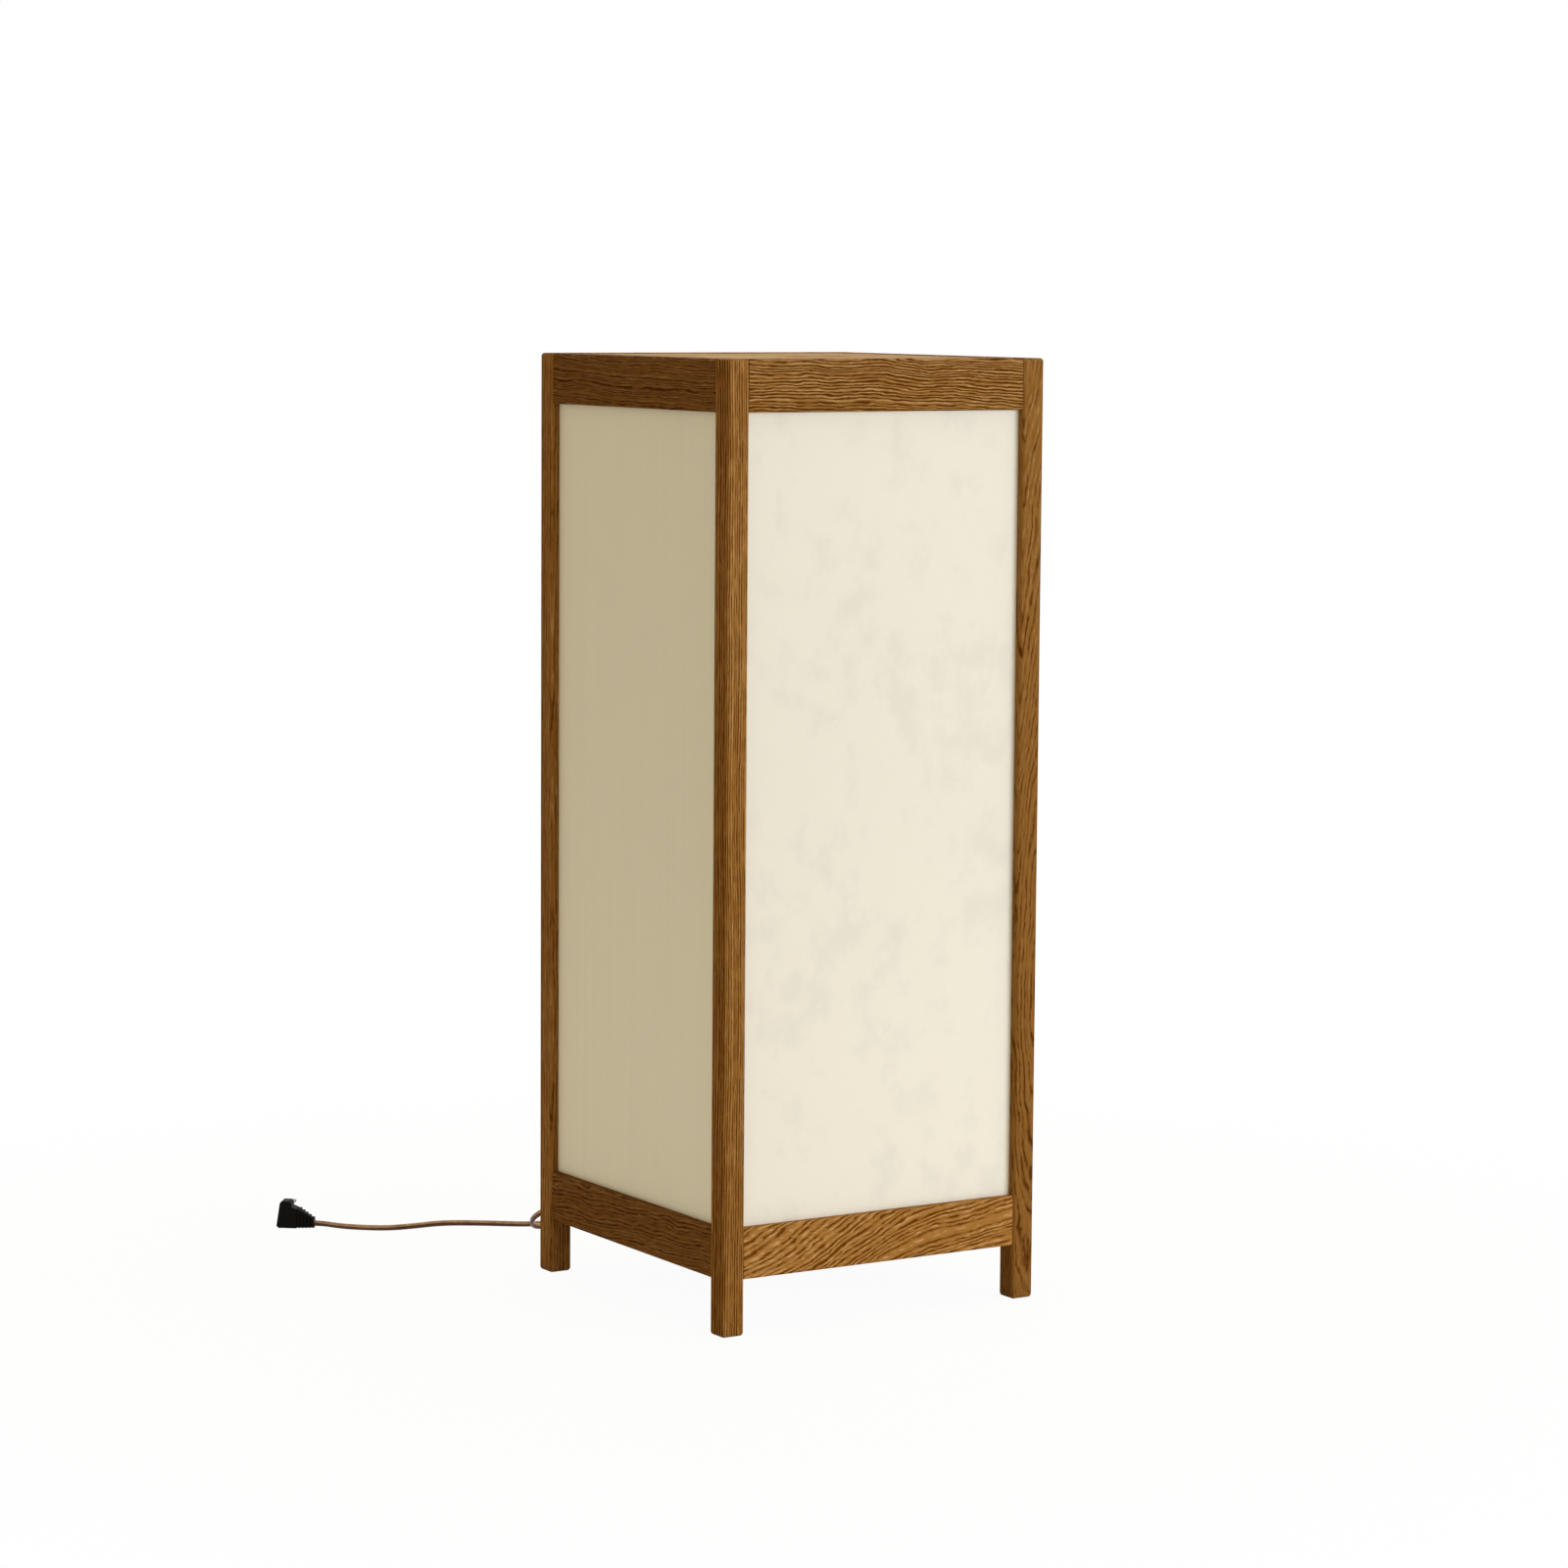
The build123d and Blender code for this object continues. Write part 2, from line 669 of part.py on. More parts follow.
with BuildPart() as bulb_globe:
    with BuildSketch(Plane.XZ):
        with BuildLine():
            rim = Line((0, housing_top), (bulb_housing_radius - bulb_globe_rim_step, housing_top))
            cheek = Spline(
                rim @ 1, (bulb_globe_radius, globe_centre), tangents=((0.45, 1), (0, 1))
            )
            dome = RadiusArc(cheek @ 1, (0, globe_centre + bulb_globe_radius), -bulb_globe_radius)
            Line(dome @ 1, rim @ 0)
        make_face()
    revolve(axis=Axis.Z)
finish_piece(bulb_globe, "bulb_globe")

# ======================================================================================================
# Lead inside the lamp, its clip and the bush in the rear rail
# ======================================================================================================
with BuildPart() as inner_lead:
    with BuildSketch(Plane((0, boss_radius + lead_end_gap, lead_height), x_dir=(1, 0, 0), z_dir=(0, 1, 0))):
        Circle(cord_radius)
    extrude(amount=rail_outer_face - boss_radius - lead_end_gap)
finish_piece(inner_lead, "inner_lead")

with BuildPart() as cord_bush:
    with BuildSketch(Plane((0, rail_inner_face, lead_height), x_dir=(1, 0, 0), z_dir=(0, 1, 0))):
        Circle(bush_body_radius)
    extrude(amount=rail_thickness)
    with BuildSketch(Plane((0, rail_outer_face, lead_height), x_dir=(1, 0, 0), z_dir=(0, 1, 0))):
        Circle(bush_flange_radius)
    extrude(amount=bush_flange_thickness)
    step_length = bush_taper_length / (2 * bush_steps)
    for step in range(2 * bush_steps):
        share = step / (2 * bush_steps - 1)
        groove = bush_groove_depth if step % 2 == 1 else 0.0
        radius = bush_root_radius + (bush_tip_radius - bush_root_radius) * share - groove * (1 - share)
        start = rail_outer_face + bush_flange_thickness + step * step_length
        with BuildSketch(Plane((0, start, lead_height), x_dir=(1, 0, 0), z_dir=(0, 1, 0))):
            Circle(radius)
        extrude(amount=step_length)
    with BuildSketch(Plane((0, rail_inner_face, lead_height), x_dir=(1, 0, 0), z_dir=(0, 1, 0))):
        Circle(cord_radius + cord_gap)
    extrude(amount=lead_exit - rail_inner_face, mode=Mode.SUBTRACT)
finish_piece(cord_bush, "cord_bush")

clip_outer = cord_radius + cord_gap + clip_thickness
with BuildPart() as cord_clip:
    with BuildSketch(Plane.XZ.offset(-clip_distance - clip_width / 2)):
        with Locations((0, bar_top + clip_thickness / 2)):
            Rectangle(clip_span, clip_thickness)
        with Locations((0, lead_height)):
            Circle(clip_outer)
        with Locations((0, (bar_top + lead_height) / 2)):
            Rectangle(2 * clip_outer, lead_height - bar_top)
        with Locations((0, bar_top - clip_outer)):
            Rectangle(2 * clip_span, 2 * clip_outer, mode=Mode.SUBTRACT)
        with Locations((0, lead_height)):
            Circle(cord_radius + cord_gap, mode=Mode.SUBTRACT)
        with Locations((0, (bar_top + lead_height) / 2)):
            Rectangle(2 * (cord_radius + cord_gap), lead_height - bar_top, mode=Mode.SUBTRACT)
    extrude(amount=clip_width)
    for x, y in clip_screw_places:
        with Locations((x, y, bar_top + clip_thickness / 2)):
            Cylinder(clip_screw_radius + screw_gap, clip_thickness, mode=Mode.SUBTRACT)
finish_piece(cord_clip, "cord_clip")

with BuildPart() as cord_clip_screws:
    for x, y in clip_screw_places:
        with BuildSketch(Plane.XY.offset(bar_top - clip_screw_depth)):
            with Locations((x, y)):
                Circle(clip_screw_radius)
        extrude(amount=clip_screw_length)
        with BuildSketch(Plane.XY.offset(bar_top + clip_thickness)):
            with Locations((x, y)):
                Circle(clip_screw_head_radius)
        extrude(amount=clip_screw_head_height)
finish_piece(cord_clip_screws, "cord_clip_screws")

# ======================================================================================================
# Switch on the lead
# ======================================================================================================
switch_top = 2 * switch_half_height
switch_plane = Plane(origin=(switch_x, switch_y, 0))
pin_height = switch_top - rocker_pin_drop
slot_length = rocker_length + 2 * rocker_slot_gap
slot_width = rocker_width + 2 * rocker_side_gap
screw_spots = [(-switch_screw_x, switch_screw_y), (switch_screw_x, -switch_screw_y)]
cavity_length = switch_length - 2 * switch_wall
cavity_width = switch_width - 2 * switch_wall
cavity_radius = switch_corner_radius - switch_wall

with BuildPart() as switch_lower_shell:
    with BuildSketch(switch_plane):
        RectangleRounded(switch_length, switch_width, switch_corner_radius)
    extrude(amount=switch_half_height)
    fillet(switch_lower_shell.faces().sort_by(Axis.Z)[0].edges(), switch_edge_radius)
    with BuildSketch(switch_plane.offset(switch_wall)):
        RectangleRounded(cavity_length, cavity_width, cavity_radius)
        with Locations(*screw_spots):
            Circle(switch_boss_radius, mode=Mode.SUBTRACT)
    extrude(amount=switch_half_height - switch_wall, mode=Mode.SUBTRACT)
    for x, y in screw_spots:
        with Locations((switch_x + x, switch_y + y, switch_half_height / 2)):
            Cylinder(switch_screw_radius + screw_gap, switch_half_height, mode=Mode.SUBTRACT)
        with Locations((switch_x + x, switch_y + y, switch_screw_head_height / 2)):
            Cylinder(switch_screw_head_radius + screw_gap, switch_screw_head_height, mode=Mode.SUBTRACT)
    with Locations((switch_x, switch_y, switch_half_height)):
        Cylinder(cord_radius + cord_gap, switch_length, rotation=(0, 90, 0), mode=Mode.SUBTRACT)
finish_piece(switch_lower_shell, "switch_lower_shell")

with BuildPart() as switch_upper_shell:
    with BuildSketch(switch_plane.offset(switch_half_height)):
        RectangleRounded(switch_length, switch_width, switch_corner_radius)
    extrude(amount=switch_half_height)
    fillet(switch_upper_shell.faces().sort_by(Axis.Z)[-1].edges(), switch_edge_radius)
    with BuildSketch(switch_plane.offset(switch_half_height)):
        RectangleRounded(cavity_length, cavity_width, cavity_radius)
        with Locations(*screw_spots):
            Circle(switch_boss_radius, mode=Mode.SUBTRACT)
    extrude(amount=switch_half_height - switch_wall, mode=Mode.SUBTRACT)
    with BuildSketch(switch_plane.offset(switch_half_height)):
        Rectangle(slot_length, slot_width)
    extrude(amount=switch_half_height, mode=Mode.SUBTRACT)
    for side in (-1, 1):
        bearing_y = side * (slot_width + bearing_thickness) / 2
        with BuildSketch(switch_plane.offset(pin_height - bearing_length / 2)):
            with Locations((0, bearing_y)):
                Rectangle(bearing_length, bearing_thickness)
        extrude(amount=switch_top - switch_wall - pin_height + bearing_length / 2)
    with Locations((switch_x, switch_y, pin_height)):
        Cylinder(
            rocker_pin_radius,
            slot_width + 2 * bearing_thickness,
            rotation=(90, 0, 0),
            mode=Mode.SUBTRACT,
        )
    for x, y in screw_spots:
        with Locations((switch_x + x, switch_y + y, (switch_screw_length + switch_half_height) / 2)):
            Cylinder(
                switch_screw_radius + screw_gap,
                switch_screw_length - switch_half_height,
                mode=Mode.SUBTRACT,
            )
    with Locations((switch_x, switch_y, switch_half_height)):
        Cylinder(cord_radius + cord_gap, switch_length, rotation=(0, 90, 0), mode=Mode.SUBTRACT)
finish_piece(switch_upper_shell, "switch_upper_shell")

with BuildPart() as switch_pin:
    with BuildSketch(
        Plane((switch_x, switch_y - slot_width / 2 - bearing_thickness, pin_height), z_dir=(0, 1, 0))
    ):
        Circle(rocker_pin_radius)
    extrude(amount=slot_width + 2 * bearing_thickness)
finish_piece(switch_pin, "switch_pin")

tilt = math.radians(rocker_tilt)
rocker_plane = Plane(
    origin=(switch_x, switch_y - rocker_width / 2, pin_height),
    x_dir=(math.cos(tilt), 0, math.sin(tilt)),
    z_dir=(0, 1, 0),
)
half_rocker = rocker_length / 2
rocker_outline = [
    (-half_rocker, rocker_end_height),
    (0, rocker_waist_height),
    (half_rocker, rocker_end_height),
    (half_rocker, rocker_end_height - rocker_lip),
    (rocker_foot_length / 2, -rocker_foot_depth),
    (-rocker_foot_length / 2, -rocker_foot_depth),
    (-half_rocker, rocker_end_height - rocker_lip),
]
with BuildPart() as switch_rocker:
    with BuildSketch(rocker_plane):
        with BuildLine():
            Polyline(*[(x, -z) for x, z in rocker_outline], close=True)
        make_face()
        Circle(rocker_pin_radius + rocker_pin_gap, mode=Mode.SUBTRACT)
    extrude(amount=rocker_width)
finish_piece(switch_rocker, "switch_rocker")

with BuildPart() as switch_screws:
    for x, y in screw_spots:
        with BuildSketch(switch_plane.offset(switch_screw_head_height)):
            with Locations((x, y)):
                Circle(switch_screw_radius)
        extrude(amount=switch_screw_length - switch_screw_head_height)
        with BuildSketch(switch_plane.offset(switch_edge_radius / 4)):
            with Locations((x, y)):
                Circle(switch_screw_head_radius)
        extrude(amount=switch_screw_head_height - switch_edge_radius / 4)
finish_piece(switch_screws, "switch_screws")

with BuildPart() as switch_contacts:
    for side in (-1, 1):
        with BuildSketch(switch_plane.offset(switch_wall)):
            with Locations((side * (leaf_x + leaf_length / 2 - leaf_width / 2), 0)):
                Rectangle(leaf_length, leaf_width)
        extrude(amount=leaf_thickness)
        with BuildSketch(switch_plane.offset(switch_wall + leaf_thickness)):
            with Locations((side * leaf_x, 0)):
                Circle(leaf_width / 3)
        extrude(amount=leaf_thickness)
finish_piece(switch_contacts, "switch_contacts")

# ======================================================================================================
# Free lead: from the bush down to the floor, through the switch, round the coil and out to the plug
# ======================================================================================================
floor = cord_radius  # height of the lead's middle where it lies on the floor
switch_entry = switch_x - switch_length / 2 + cord_grip_length
switch_leave = switch_x + switch_length / 2 - cord_grip_length
coil_low = tie_thickness + tie_gap + cord_radius
coil_high = coil_low + (coil_rows - 1) * coil_turn_spacing
coil_outer_turn = coil_middle_radius + coil_turn_spacing * (coil_columns - 1) / 2

heading = math.radians(plug_heading)
plug_way = Vector(math.cos(heading), math.sin(heading), 0)
blade_way = Vector(math.sin(heading), -math.cos(heading), 0)
plug_entry = Vector(plug_entry_x, plug_entry_y, plug_relief_radius)
plug_approach = plug_entry - plug_way * plug_run

lamp_side_route = [
    (0, lead_exit, lead_height),
    (0, 157, lead_height),
    (-7, 175, 55),
    (-26, 191, 43),
    (-50, 205, 31.5),
    (-70.5, 218.5, 20.5),
    (-74, 233.5, 10.5),
    (-66, 241.5, 2.8),
    (-48, 246, floor),
    (-31, 245.5, 2.4),
    (switch_entry - 10, switch_y, switch_half_height),
    (switch_entry, switch_y, switch_half_height),
]
coil_side_route = [
    (switch_leave, switch_y, switch_half_height),
    (switch_leave + 14, switch_y, switch_half_height),
    (68.5, 235, 7),
    (71.5, 221, 5),
    (coil_x - coil_outer_turn, 206, coil_low),
    (coil_x - coil_outer_turn, coil_y, coil_low),
]
plug_side_route = [
    (coil_x + coil_outer_turn, coil_y, coil_high),
    (125, 208, 11.2),
    (121, 229, 8),
    (108, 248, 4.2),
    (86, 260, floor),
    (60, 266.5, floor),
    (33, 266, floor),
    (9, 262.5, floor),
    (-11, 257.5, floor),
    (-30, 253.5, floor),
    (-48, 251.5, floor),
    (-65, 257.5, floor),
    (-79.5, 268.5, floor),
    (-97, 281.5, floor),
    (-117, 292.8, floor),
    (-139, 293, floor),
    (-158, 295.5, floor),
    (-172, 304.5, floor),
    (-187.5, 318.5, 2.4),
    tuple(plug_approach),
    tuple(plug_entry),
]


def corner_radii(route):
    """The radius of each corner's arc: 0.45 of the shorter run over the tangent of half the turn."""
    radii = []
    for before, here, after in zip(route, route[1:], route[2:]):
        first = Vector(here) - Vector(before)
        second = Vector(after) - Vector(here)
        half_turn = math.radians(first.get_angle(second) / 2)
        radii.append(0.45 * min(first.length, second.length) / math.tan(half_turn))
    return radii


def make_cord(name, route, lead_in=0.0):
    """A round tube along straight runs joined by tangent arcs, with a straight stretch before them."""
    radii = corner_radii(route)
    with BuildPart() as cord:
        with BuildLine() as path:
            FilletPolyline(*route, radius=radii)
        way = path.wires()[0]
        with BuildSketch(Plane(origin=way @ 0, z_dir=way % 0)):
            Circle(cord_radius)
        sweep(path=way)
        if lead_in > 0:
            with BuildSketch(Plane(origin=(way @ 0) - (way % 0) * lead_in, z_dir=way % 0)):
                Circle(cord_radius)
            extrude(amount=lead_in)
    finish_piece(cord, name)
    length = way.length + lead_in
    section = math.pi * cord_radius**2
    print(
        f"{name}: length {length:.1f}, volume share {cord.part.volume / (section * length):.4f}, "
        f"radii {[round(radius, 1) for radius in radii]}"
    )


make_cord("cord_lamp_side", lamp_side_route, lead_exit - rail_outer_face)
make_cord("cord_coil_side", coil_side_route)
make_cord("cord_plug_side", plug_side_route)

coil_width = (coil_columns - 1) * coil_turn_spacing + cord_diameter
coil_height = (coil_rows - 1) * coil_turn_spacing + cord_diameter
coil_bottom = tie_thickness + tie_gap
coil_section = Plane(
    origin=(coil_x, coil_y, coil_bottom + coil_height / 2),
    x_dir=(math.cos(math.radians(tie_angle)), math.sin(math.radians(tie_angle)), 0),
    z_dir=(math.sin(math.radians(tie_angle)), -math.cos(math.radians(tie_angle)), 0),
)
coil_axis = Axis((coil_x, coil_y, 0), (0, 0, 1))

with BuildPart() as cord_coil:
    with BuildSketch(coil_section):
        with Locations((coil_middle_radius, 0)):
            RectangleRounded(coil_width, coil_height, coil_corner_radius)
    revolve(axis=coil_axis)
finish_piece(cord_coil, "cord_coil")

with BuildPart() as coil_tie:
    with BuildSketch(coil_section):
        with Locations((coil_middle_radius, 0)):
            RectangleRounded(
                coil_width + 2 * (tie_gap + tie_thickness),
                coil_height + 2 * (tie_gap + tie_thickness),
                coil_corner_radius + tie_gap + tie_thickness,
            )
            RectangleRounded(
                coil_width + 2 * tie_gap,
                coil_height + 2 * tie_gap,
                coil_corner_radius + tie_gap,
                mode=Mode.SUBTRACT,
            )
    revolve(axis=coil_axis, revolution_arc=tie_arc)
finish_piece(coil_tie, "coil_tie")

# ======================================================================================================
# Plug
# ======================================================================================================
plug_middle = Plane(
    origin=(plug_entry_x, plug_entry_y, 0),
    x_dir=plug_way,
    z_dir=blade_way,
)
plug_face = plug_middle.offset(-plug_thickness / 2)
relief_section = Plane(origin=(plug_entry_x, plug_entry_y, 0), x_dir=-blade_way, z_dir=plug_way)
plug_back = plug_relief_length + plug_length
plug_step = plug_relief_length + plug_step_length
blade_u = plug_back - blade_inset
blade_heights = [blade_lowest, blade_lowest + blade_spacing]
blade_start = plug_thickness / 2 - blade_seat_depth
plug_outline = [
    (plug_relief_length, 0),
    (plug_back - plug_corner, 0),
    (plug_back, plug_corner),
    (plug_back - plug_back_slope, plug_height - plug_corner),
    (plug_back - plug_back_slope - plug_corner, plug_height),
    (plug_step + plug_corner, plug_height),
    (plug_step, plug_height - plug_corner),
    (plug_step, plug_step_height + plug_corner),
    (plug_relief_length, plug_step_height),
]
with BuildPart() as plug_body:
    with BuildSketch(plug_face):
        with BuildLine():
            Polyline(*plug_outline, close=True)
        make_face()
    extrude(amount=plug_thickness)
    rim = plug_body.faces().filter_by(Axis((0, 0, 0), blade_way)).edges()
    fillet(rim.sort_by(Axis((0, 0, 0), plug_way))[2:], plug_edge_radius)
    with BuildSketch(plug_middle.offset(blade_start)):
        for height in blade_heights:
            with Locations((blade_u, height)):
                Rectangle(blade_width, blade_thickness)
    extrude(amount=blade_seat_depth, mode=Mode.SUBTRACT)
finish_piece(plug_body, "plug_body")

with BuildPart() as plug_relief:
    rib_pitch = plug_relief_length / plug_relief_ribs
    for rib in range(plug_relief_ribs):
        share = (rib + 1) / plug_relief_ribs
        rib_height = 2 * plug_relief_radius + (plug_step_height - 2 * plug_relief_radius) * share
        rib_width = 2 * plug_relief_radius + (plug_thickness - 2 * plug_relief_radius) * share
        groove_height = rib_height - 2 * plug_rib_groove_depth
        with BuildSketch(relief_section.offset(rib * rib_pitch)):
            with Locations((0, rib_height / 2)):
                RectangleRounded(rib_width, rib_height, plug_relief_radius * 0.9)
        extrude(amount=rib_pitch - plug_rib_groove_length)
        with BuildSketch(relief_section.offset((rib + 1) * rib_pitch - plug_rib_groove_length)):
            with Locations((0, rib_height / 2)):
                RectangleRounded(rib_width - 2 * plug_rib_groove_depth, groove_height, plug_relief_radius * 0.8)
        extrude(amount=plug_rib_groove_length)
finish_piece(plug_relief, "plug_relief")

with BuildPart() as plug_blades:
    for height in blade_heights:
        with BuildSketch(plug_middle.offset(blade_start)):
            with Locations((blade_u, height)):
                Rectangle(blade_width, blade_thickness)
        extrude(amount=blade_seat_depth + blade_length)
    upright = plug_blades.edges().filter_by(Axis.Z)
    chamfer(upright.group_by(Axis((0, 0, 0), blade_way))[-1], blade_corner)
    hole_place = plug_middle.offset(plug_thickness / 2 + blade_length - blade_hole_inset).origin + plug_way * blade_u
    with Locations(Plane(origin=(hole_place.X, hole_place.Y, blade_heights[0] + blade_spacing / 2))):
        Cylinder(blade_hole_radius, blade_spacing + 2 * blade_thickness, mode=Mode.SUBTRACT)
finish_piece(plug_blades, "plug_blades")
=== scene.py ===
"""Andon floor lamp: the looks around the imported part.

An oak frame with four paper panels, a lift-out top board, a lampholder on a bar across the open
underside, and a thin twin lead with a switch, a wound coil and a plug.  Everything is in metres in
the part's own frame: +Z is up, -Y is the front and +X is the right.
"""

import logging
import math
from dataclasses import dataclass, field, fields, replace
from enum import Enum
from functools import cache
from typing import Any, Optional

import bmesh
import bpy
from mathutils import Matrix, Vector


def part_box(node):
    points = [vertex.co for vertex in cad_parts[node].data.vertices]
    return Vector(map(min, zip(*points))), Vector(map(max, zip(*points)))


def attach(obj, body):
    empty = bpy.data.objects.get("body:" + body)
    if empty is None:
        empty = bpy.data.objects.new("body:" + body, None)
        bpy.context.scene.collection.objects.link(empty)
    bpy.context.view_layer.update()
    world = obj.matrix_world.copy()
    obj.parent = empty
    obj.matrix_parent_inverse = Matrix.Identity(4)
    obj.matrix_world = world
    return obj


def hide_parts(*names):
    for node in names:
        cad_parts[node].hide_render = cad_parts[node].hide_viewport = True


LOG = logging.getLogger("andon_lamp")
SIDES = ("front", "right", "rear", "left")

Colour = tuple[float, float, float]
Point = tuple[float, float, float]
Span = tuple[float, float]

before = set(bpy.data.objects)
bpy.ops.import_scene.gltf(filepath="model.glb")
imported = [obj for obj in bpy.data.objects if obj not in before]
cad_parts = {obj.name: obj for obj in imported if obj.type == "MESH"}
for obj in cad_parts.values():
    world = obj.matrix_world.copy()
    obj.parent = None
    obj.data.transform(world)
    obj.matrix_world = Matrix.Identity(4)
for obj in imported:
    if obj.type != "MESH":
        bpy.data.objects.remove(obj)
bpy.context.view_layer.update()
LEFT_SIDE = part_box("post_front_left")[0].x
FRAME_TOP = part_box("post_front_left")[1].z
BAR_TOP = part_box("base_bar")[1].z


# ---- Shader helpers ----
class NodeSheet:
    """Adds nodes to one node tree and joins them."""

    FACTOR, FIRST, SECOND = 0, 6, 7  # a Mix node's inputs for colours
    MIXED = 2  # its output

    def __init__(self, tree: bpy.types.NodeTree) -> None:
        """Starts on a tree, which is emptied.

        Args:
            tree: the node tree of a material, a world or a group.
        """
        tree.nodes.clear()
        self.tree = tree

    def fill(self, node: bpy.types.Node, inputs: dict) -> None:
        """Joins or sets some of a node's inputs.

        Args:
            node: the node.
            inputs: output socket, number, vector or colour for each input, by name or number.
        """
        for key, value in inputs.items():
            socket = node.inputs[key]
            if isinstance(value, bpy.types.NodeSocket):
                self.tree.links.new(value, socket)
            elif isinstance(value, tuple) and socket.type == "RGBA":
                socket.default_value = (*value, 1.0)
            else:
                socket.default_value = value

    def add(self, kind: str, inputs: Optional[dict] = None, **settings: Any) -> bpy.types.Node:
        """Adds one node.

        Args:
            kind: the node's type without the leading "ShaderNode".
            inputs: what goes into each input, as fill takes it.
            **settings: the node's own properties.

        Returns:
            The new node.
        """
        node = self.tree.nodes.new(kind if kind.startswith("Node") else f"ShaderNode{kind}")
        for key, value in settings.items():
            setattr(node, key, value)
        self.fill(node, inputs or {})
        return node

    def maths(self, operation: str, *values: Any) -> bpy.types.NodeSocket:
        """The result of one Math node on its values in order."""
        return self.add("Math", dict(enumerate(values)), operation=operation).outputs[0]

    def vector(self, operation: str, *values: Any) -> bpy.types.NodeSocket:
        """The vector result of one Vector Math node on its values in order."""
        return self.add("VectorMath", dict(enumerate(values)), operation=operation).outputs[0]

    def scaled(self, value: Any, scale: Any) -> bpy.types.NodeSocket:
        """A vector made longer or shorter by one number."""
        return self.add("VectorMath", {0: value, "Scale": scale}, operation="SCALE").outputs[0]

    def length(self, value: Any) -> bpy.types.NodeSocket:
        """The length of a vector."""
        return self.add("VectorMath", {0: value}, operation="LENGTH").outputs["Value"]

    def parts(self, value: Any) -> list[bpy.types.NodeSocket]:
        """The X, Y and Z of a vector."""
        return list(self.add("SeparateXYZ", {0: value}).outputs)

    def mix(self, factor: Any, first: Any, second: Any, blend: str = "MIX") -> bpy.types.NodeSocket:
        """The colour that a Mix node makes of two colours."""
        inputs = {self.FACTOR: factor, self.FIRST: first, self.SECOND: second}
        return self.add("Mix", inputs, data_type="RGBA", blend_type=blend).outputs[self.MIXED]

    def tinted(self, colour: Any, gain: Any) -> bpy.types.NodeSocket:
        """A colour made paler or darker by one number."""
        grey = self.add("CombineColor", {0: gain, 1: gain, 2: gain}).outputs[0]
        return self.mix(1.0, colour, grey, "MULTIPLY")

    def ramp(self, value: Any, span: Span, ends: Span = (0.0, 1.0)) -> bpy.types.NodeSocket:
        """A value eased from one span into another.

        Args:
            value: the value.
            span: where the value's ease starts and ends.
            ends: the results there and beyond.

        Returns:
            The eased value.
        """
        spans = dict(zip(("From Min", "From Max", "To Min", "To Max"), span + ends))
        node = self.add("MapRange", {"Value": value, **spans}, interpolation_type="SMOOTHSTEP")
        return node.outputs["Result"]

    def fade(self, value: Any, span: Span) -> bpy.types.NodeSocket:
        """1 before a span of the value and 0 beyond it."""
        return self.ramp(value, span, (1.0, 0.0))

    def band(self, value: Any, rise: Span, fall: Span) -> bpy.types.NodeSocket:
        """1 between a rise and a fall of the value, eased at both, and 0 elsewhere."""
        return self.maths("MULTIPLY", self.ramp(value, rise), self.fade(value, fall))

    def noise(self, place: Any, scale: Any, detail: float = 2.0, rough: float = 0.5) -> bpy.types.Node:
        """Noise on a vector.

        Args:
            place: the vector.
            scale: its stretch on each axis, or one number for all of them.
            detail: how many finer layers the noise has.
            rough: how strong the finer layers are.

        Returns:
            The noise node.
        """
        stretched = self.vector("MULTIPLY", place, scale)
        inputs = {"Vector": stretched, "Scale": 1.0, "Detail": detail, "Roughness": rough}
        return self.add("TexNoise", inputs)

    def value_noise(
        self, place: Any, scale: Any, detail: float = 2.0, rough: float = 0.5
    ) -> bpy.types.NodeSocket:
        """Noise on a vector, as one value about 0.5."""
        return self.noise(place, scale, detail, rough).outputs[0]

    def bump(self, height: Any, strength: float, depth: float) -> bpy.types.NodeSocket:
        """The normals of a surface that has a height on it."""
        return self.add("Bump", {"Strength": strength, "Distance": depth, "Height": height}).outputs[0]


def make_group(name: str, inputs: dict[str, tuple], outputs: dict[str, tuple]) -> tuple:
    """Makes an empty shader node group.

    Args:
        name: the group's name.
        inputs: the inputs' names, by the kind of their sockets.
        outputs: the outputs' names, by the kind of their sockets.

    Returns:
        The group's tree, its sheet, its input node's sockets and its output node.
    """
    tree = bpy.data.node_groups.new(name, "ShaderNodeTree")
    for way, kinds in (("INPUT", inputs), ("OUTPUT", outputs)):
        for kind, labels in kinds.items():
            for label in labels:
                tree.interface.new_socket(name=label, in_out=way, socket_type=f"NodeSocket{kind}")
    sheet = NodeSheet(tree)
    return tree, sheet, sheet.add("NodeGroupInput").outputs, sheet.add("NodeGroupOutput")


def open_material(name: str) -> tuple:
    """Starts a node material.

    Args:
        name: the material's name.

    Returns:
        The material, its sheet, its shader node and its Object coordinates.
    """
    material = bpy.data.materials.new(name)
    material.use_nodes = True
    sheet = NodeSheet(material.node_tree)
    shader = sheet.add("BsdfPrincipled")
    sheet.add("OutputMaterial", {0: shader.outputs[0]})
    return material, sheet, shader, sheet.add("TexCoord").outputs["Object"]


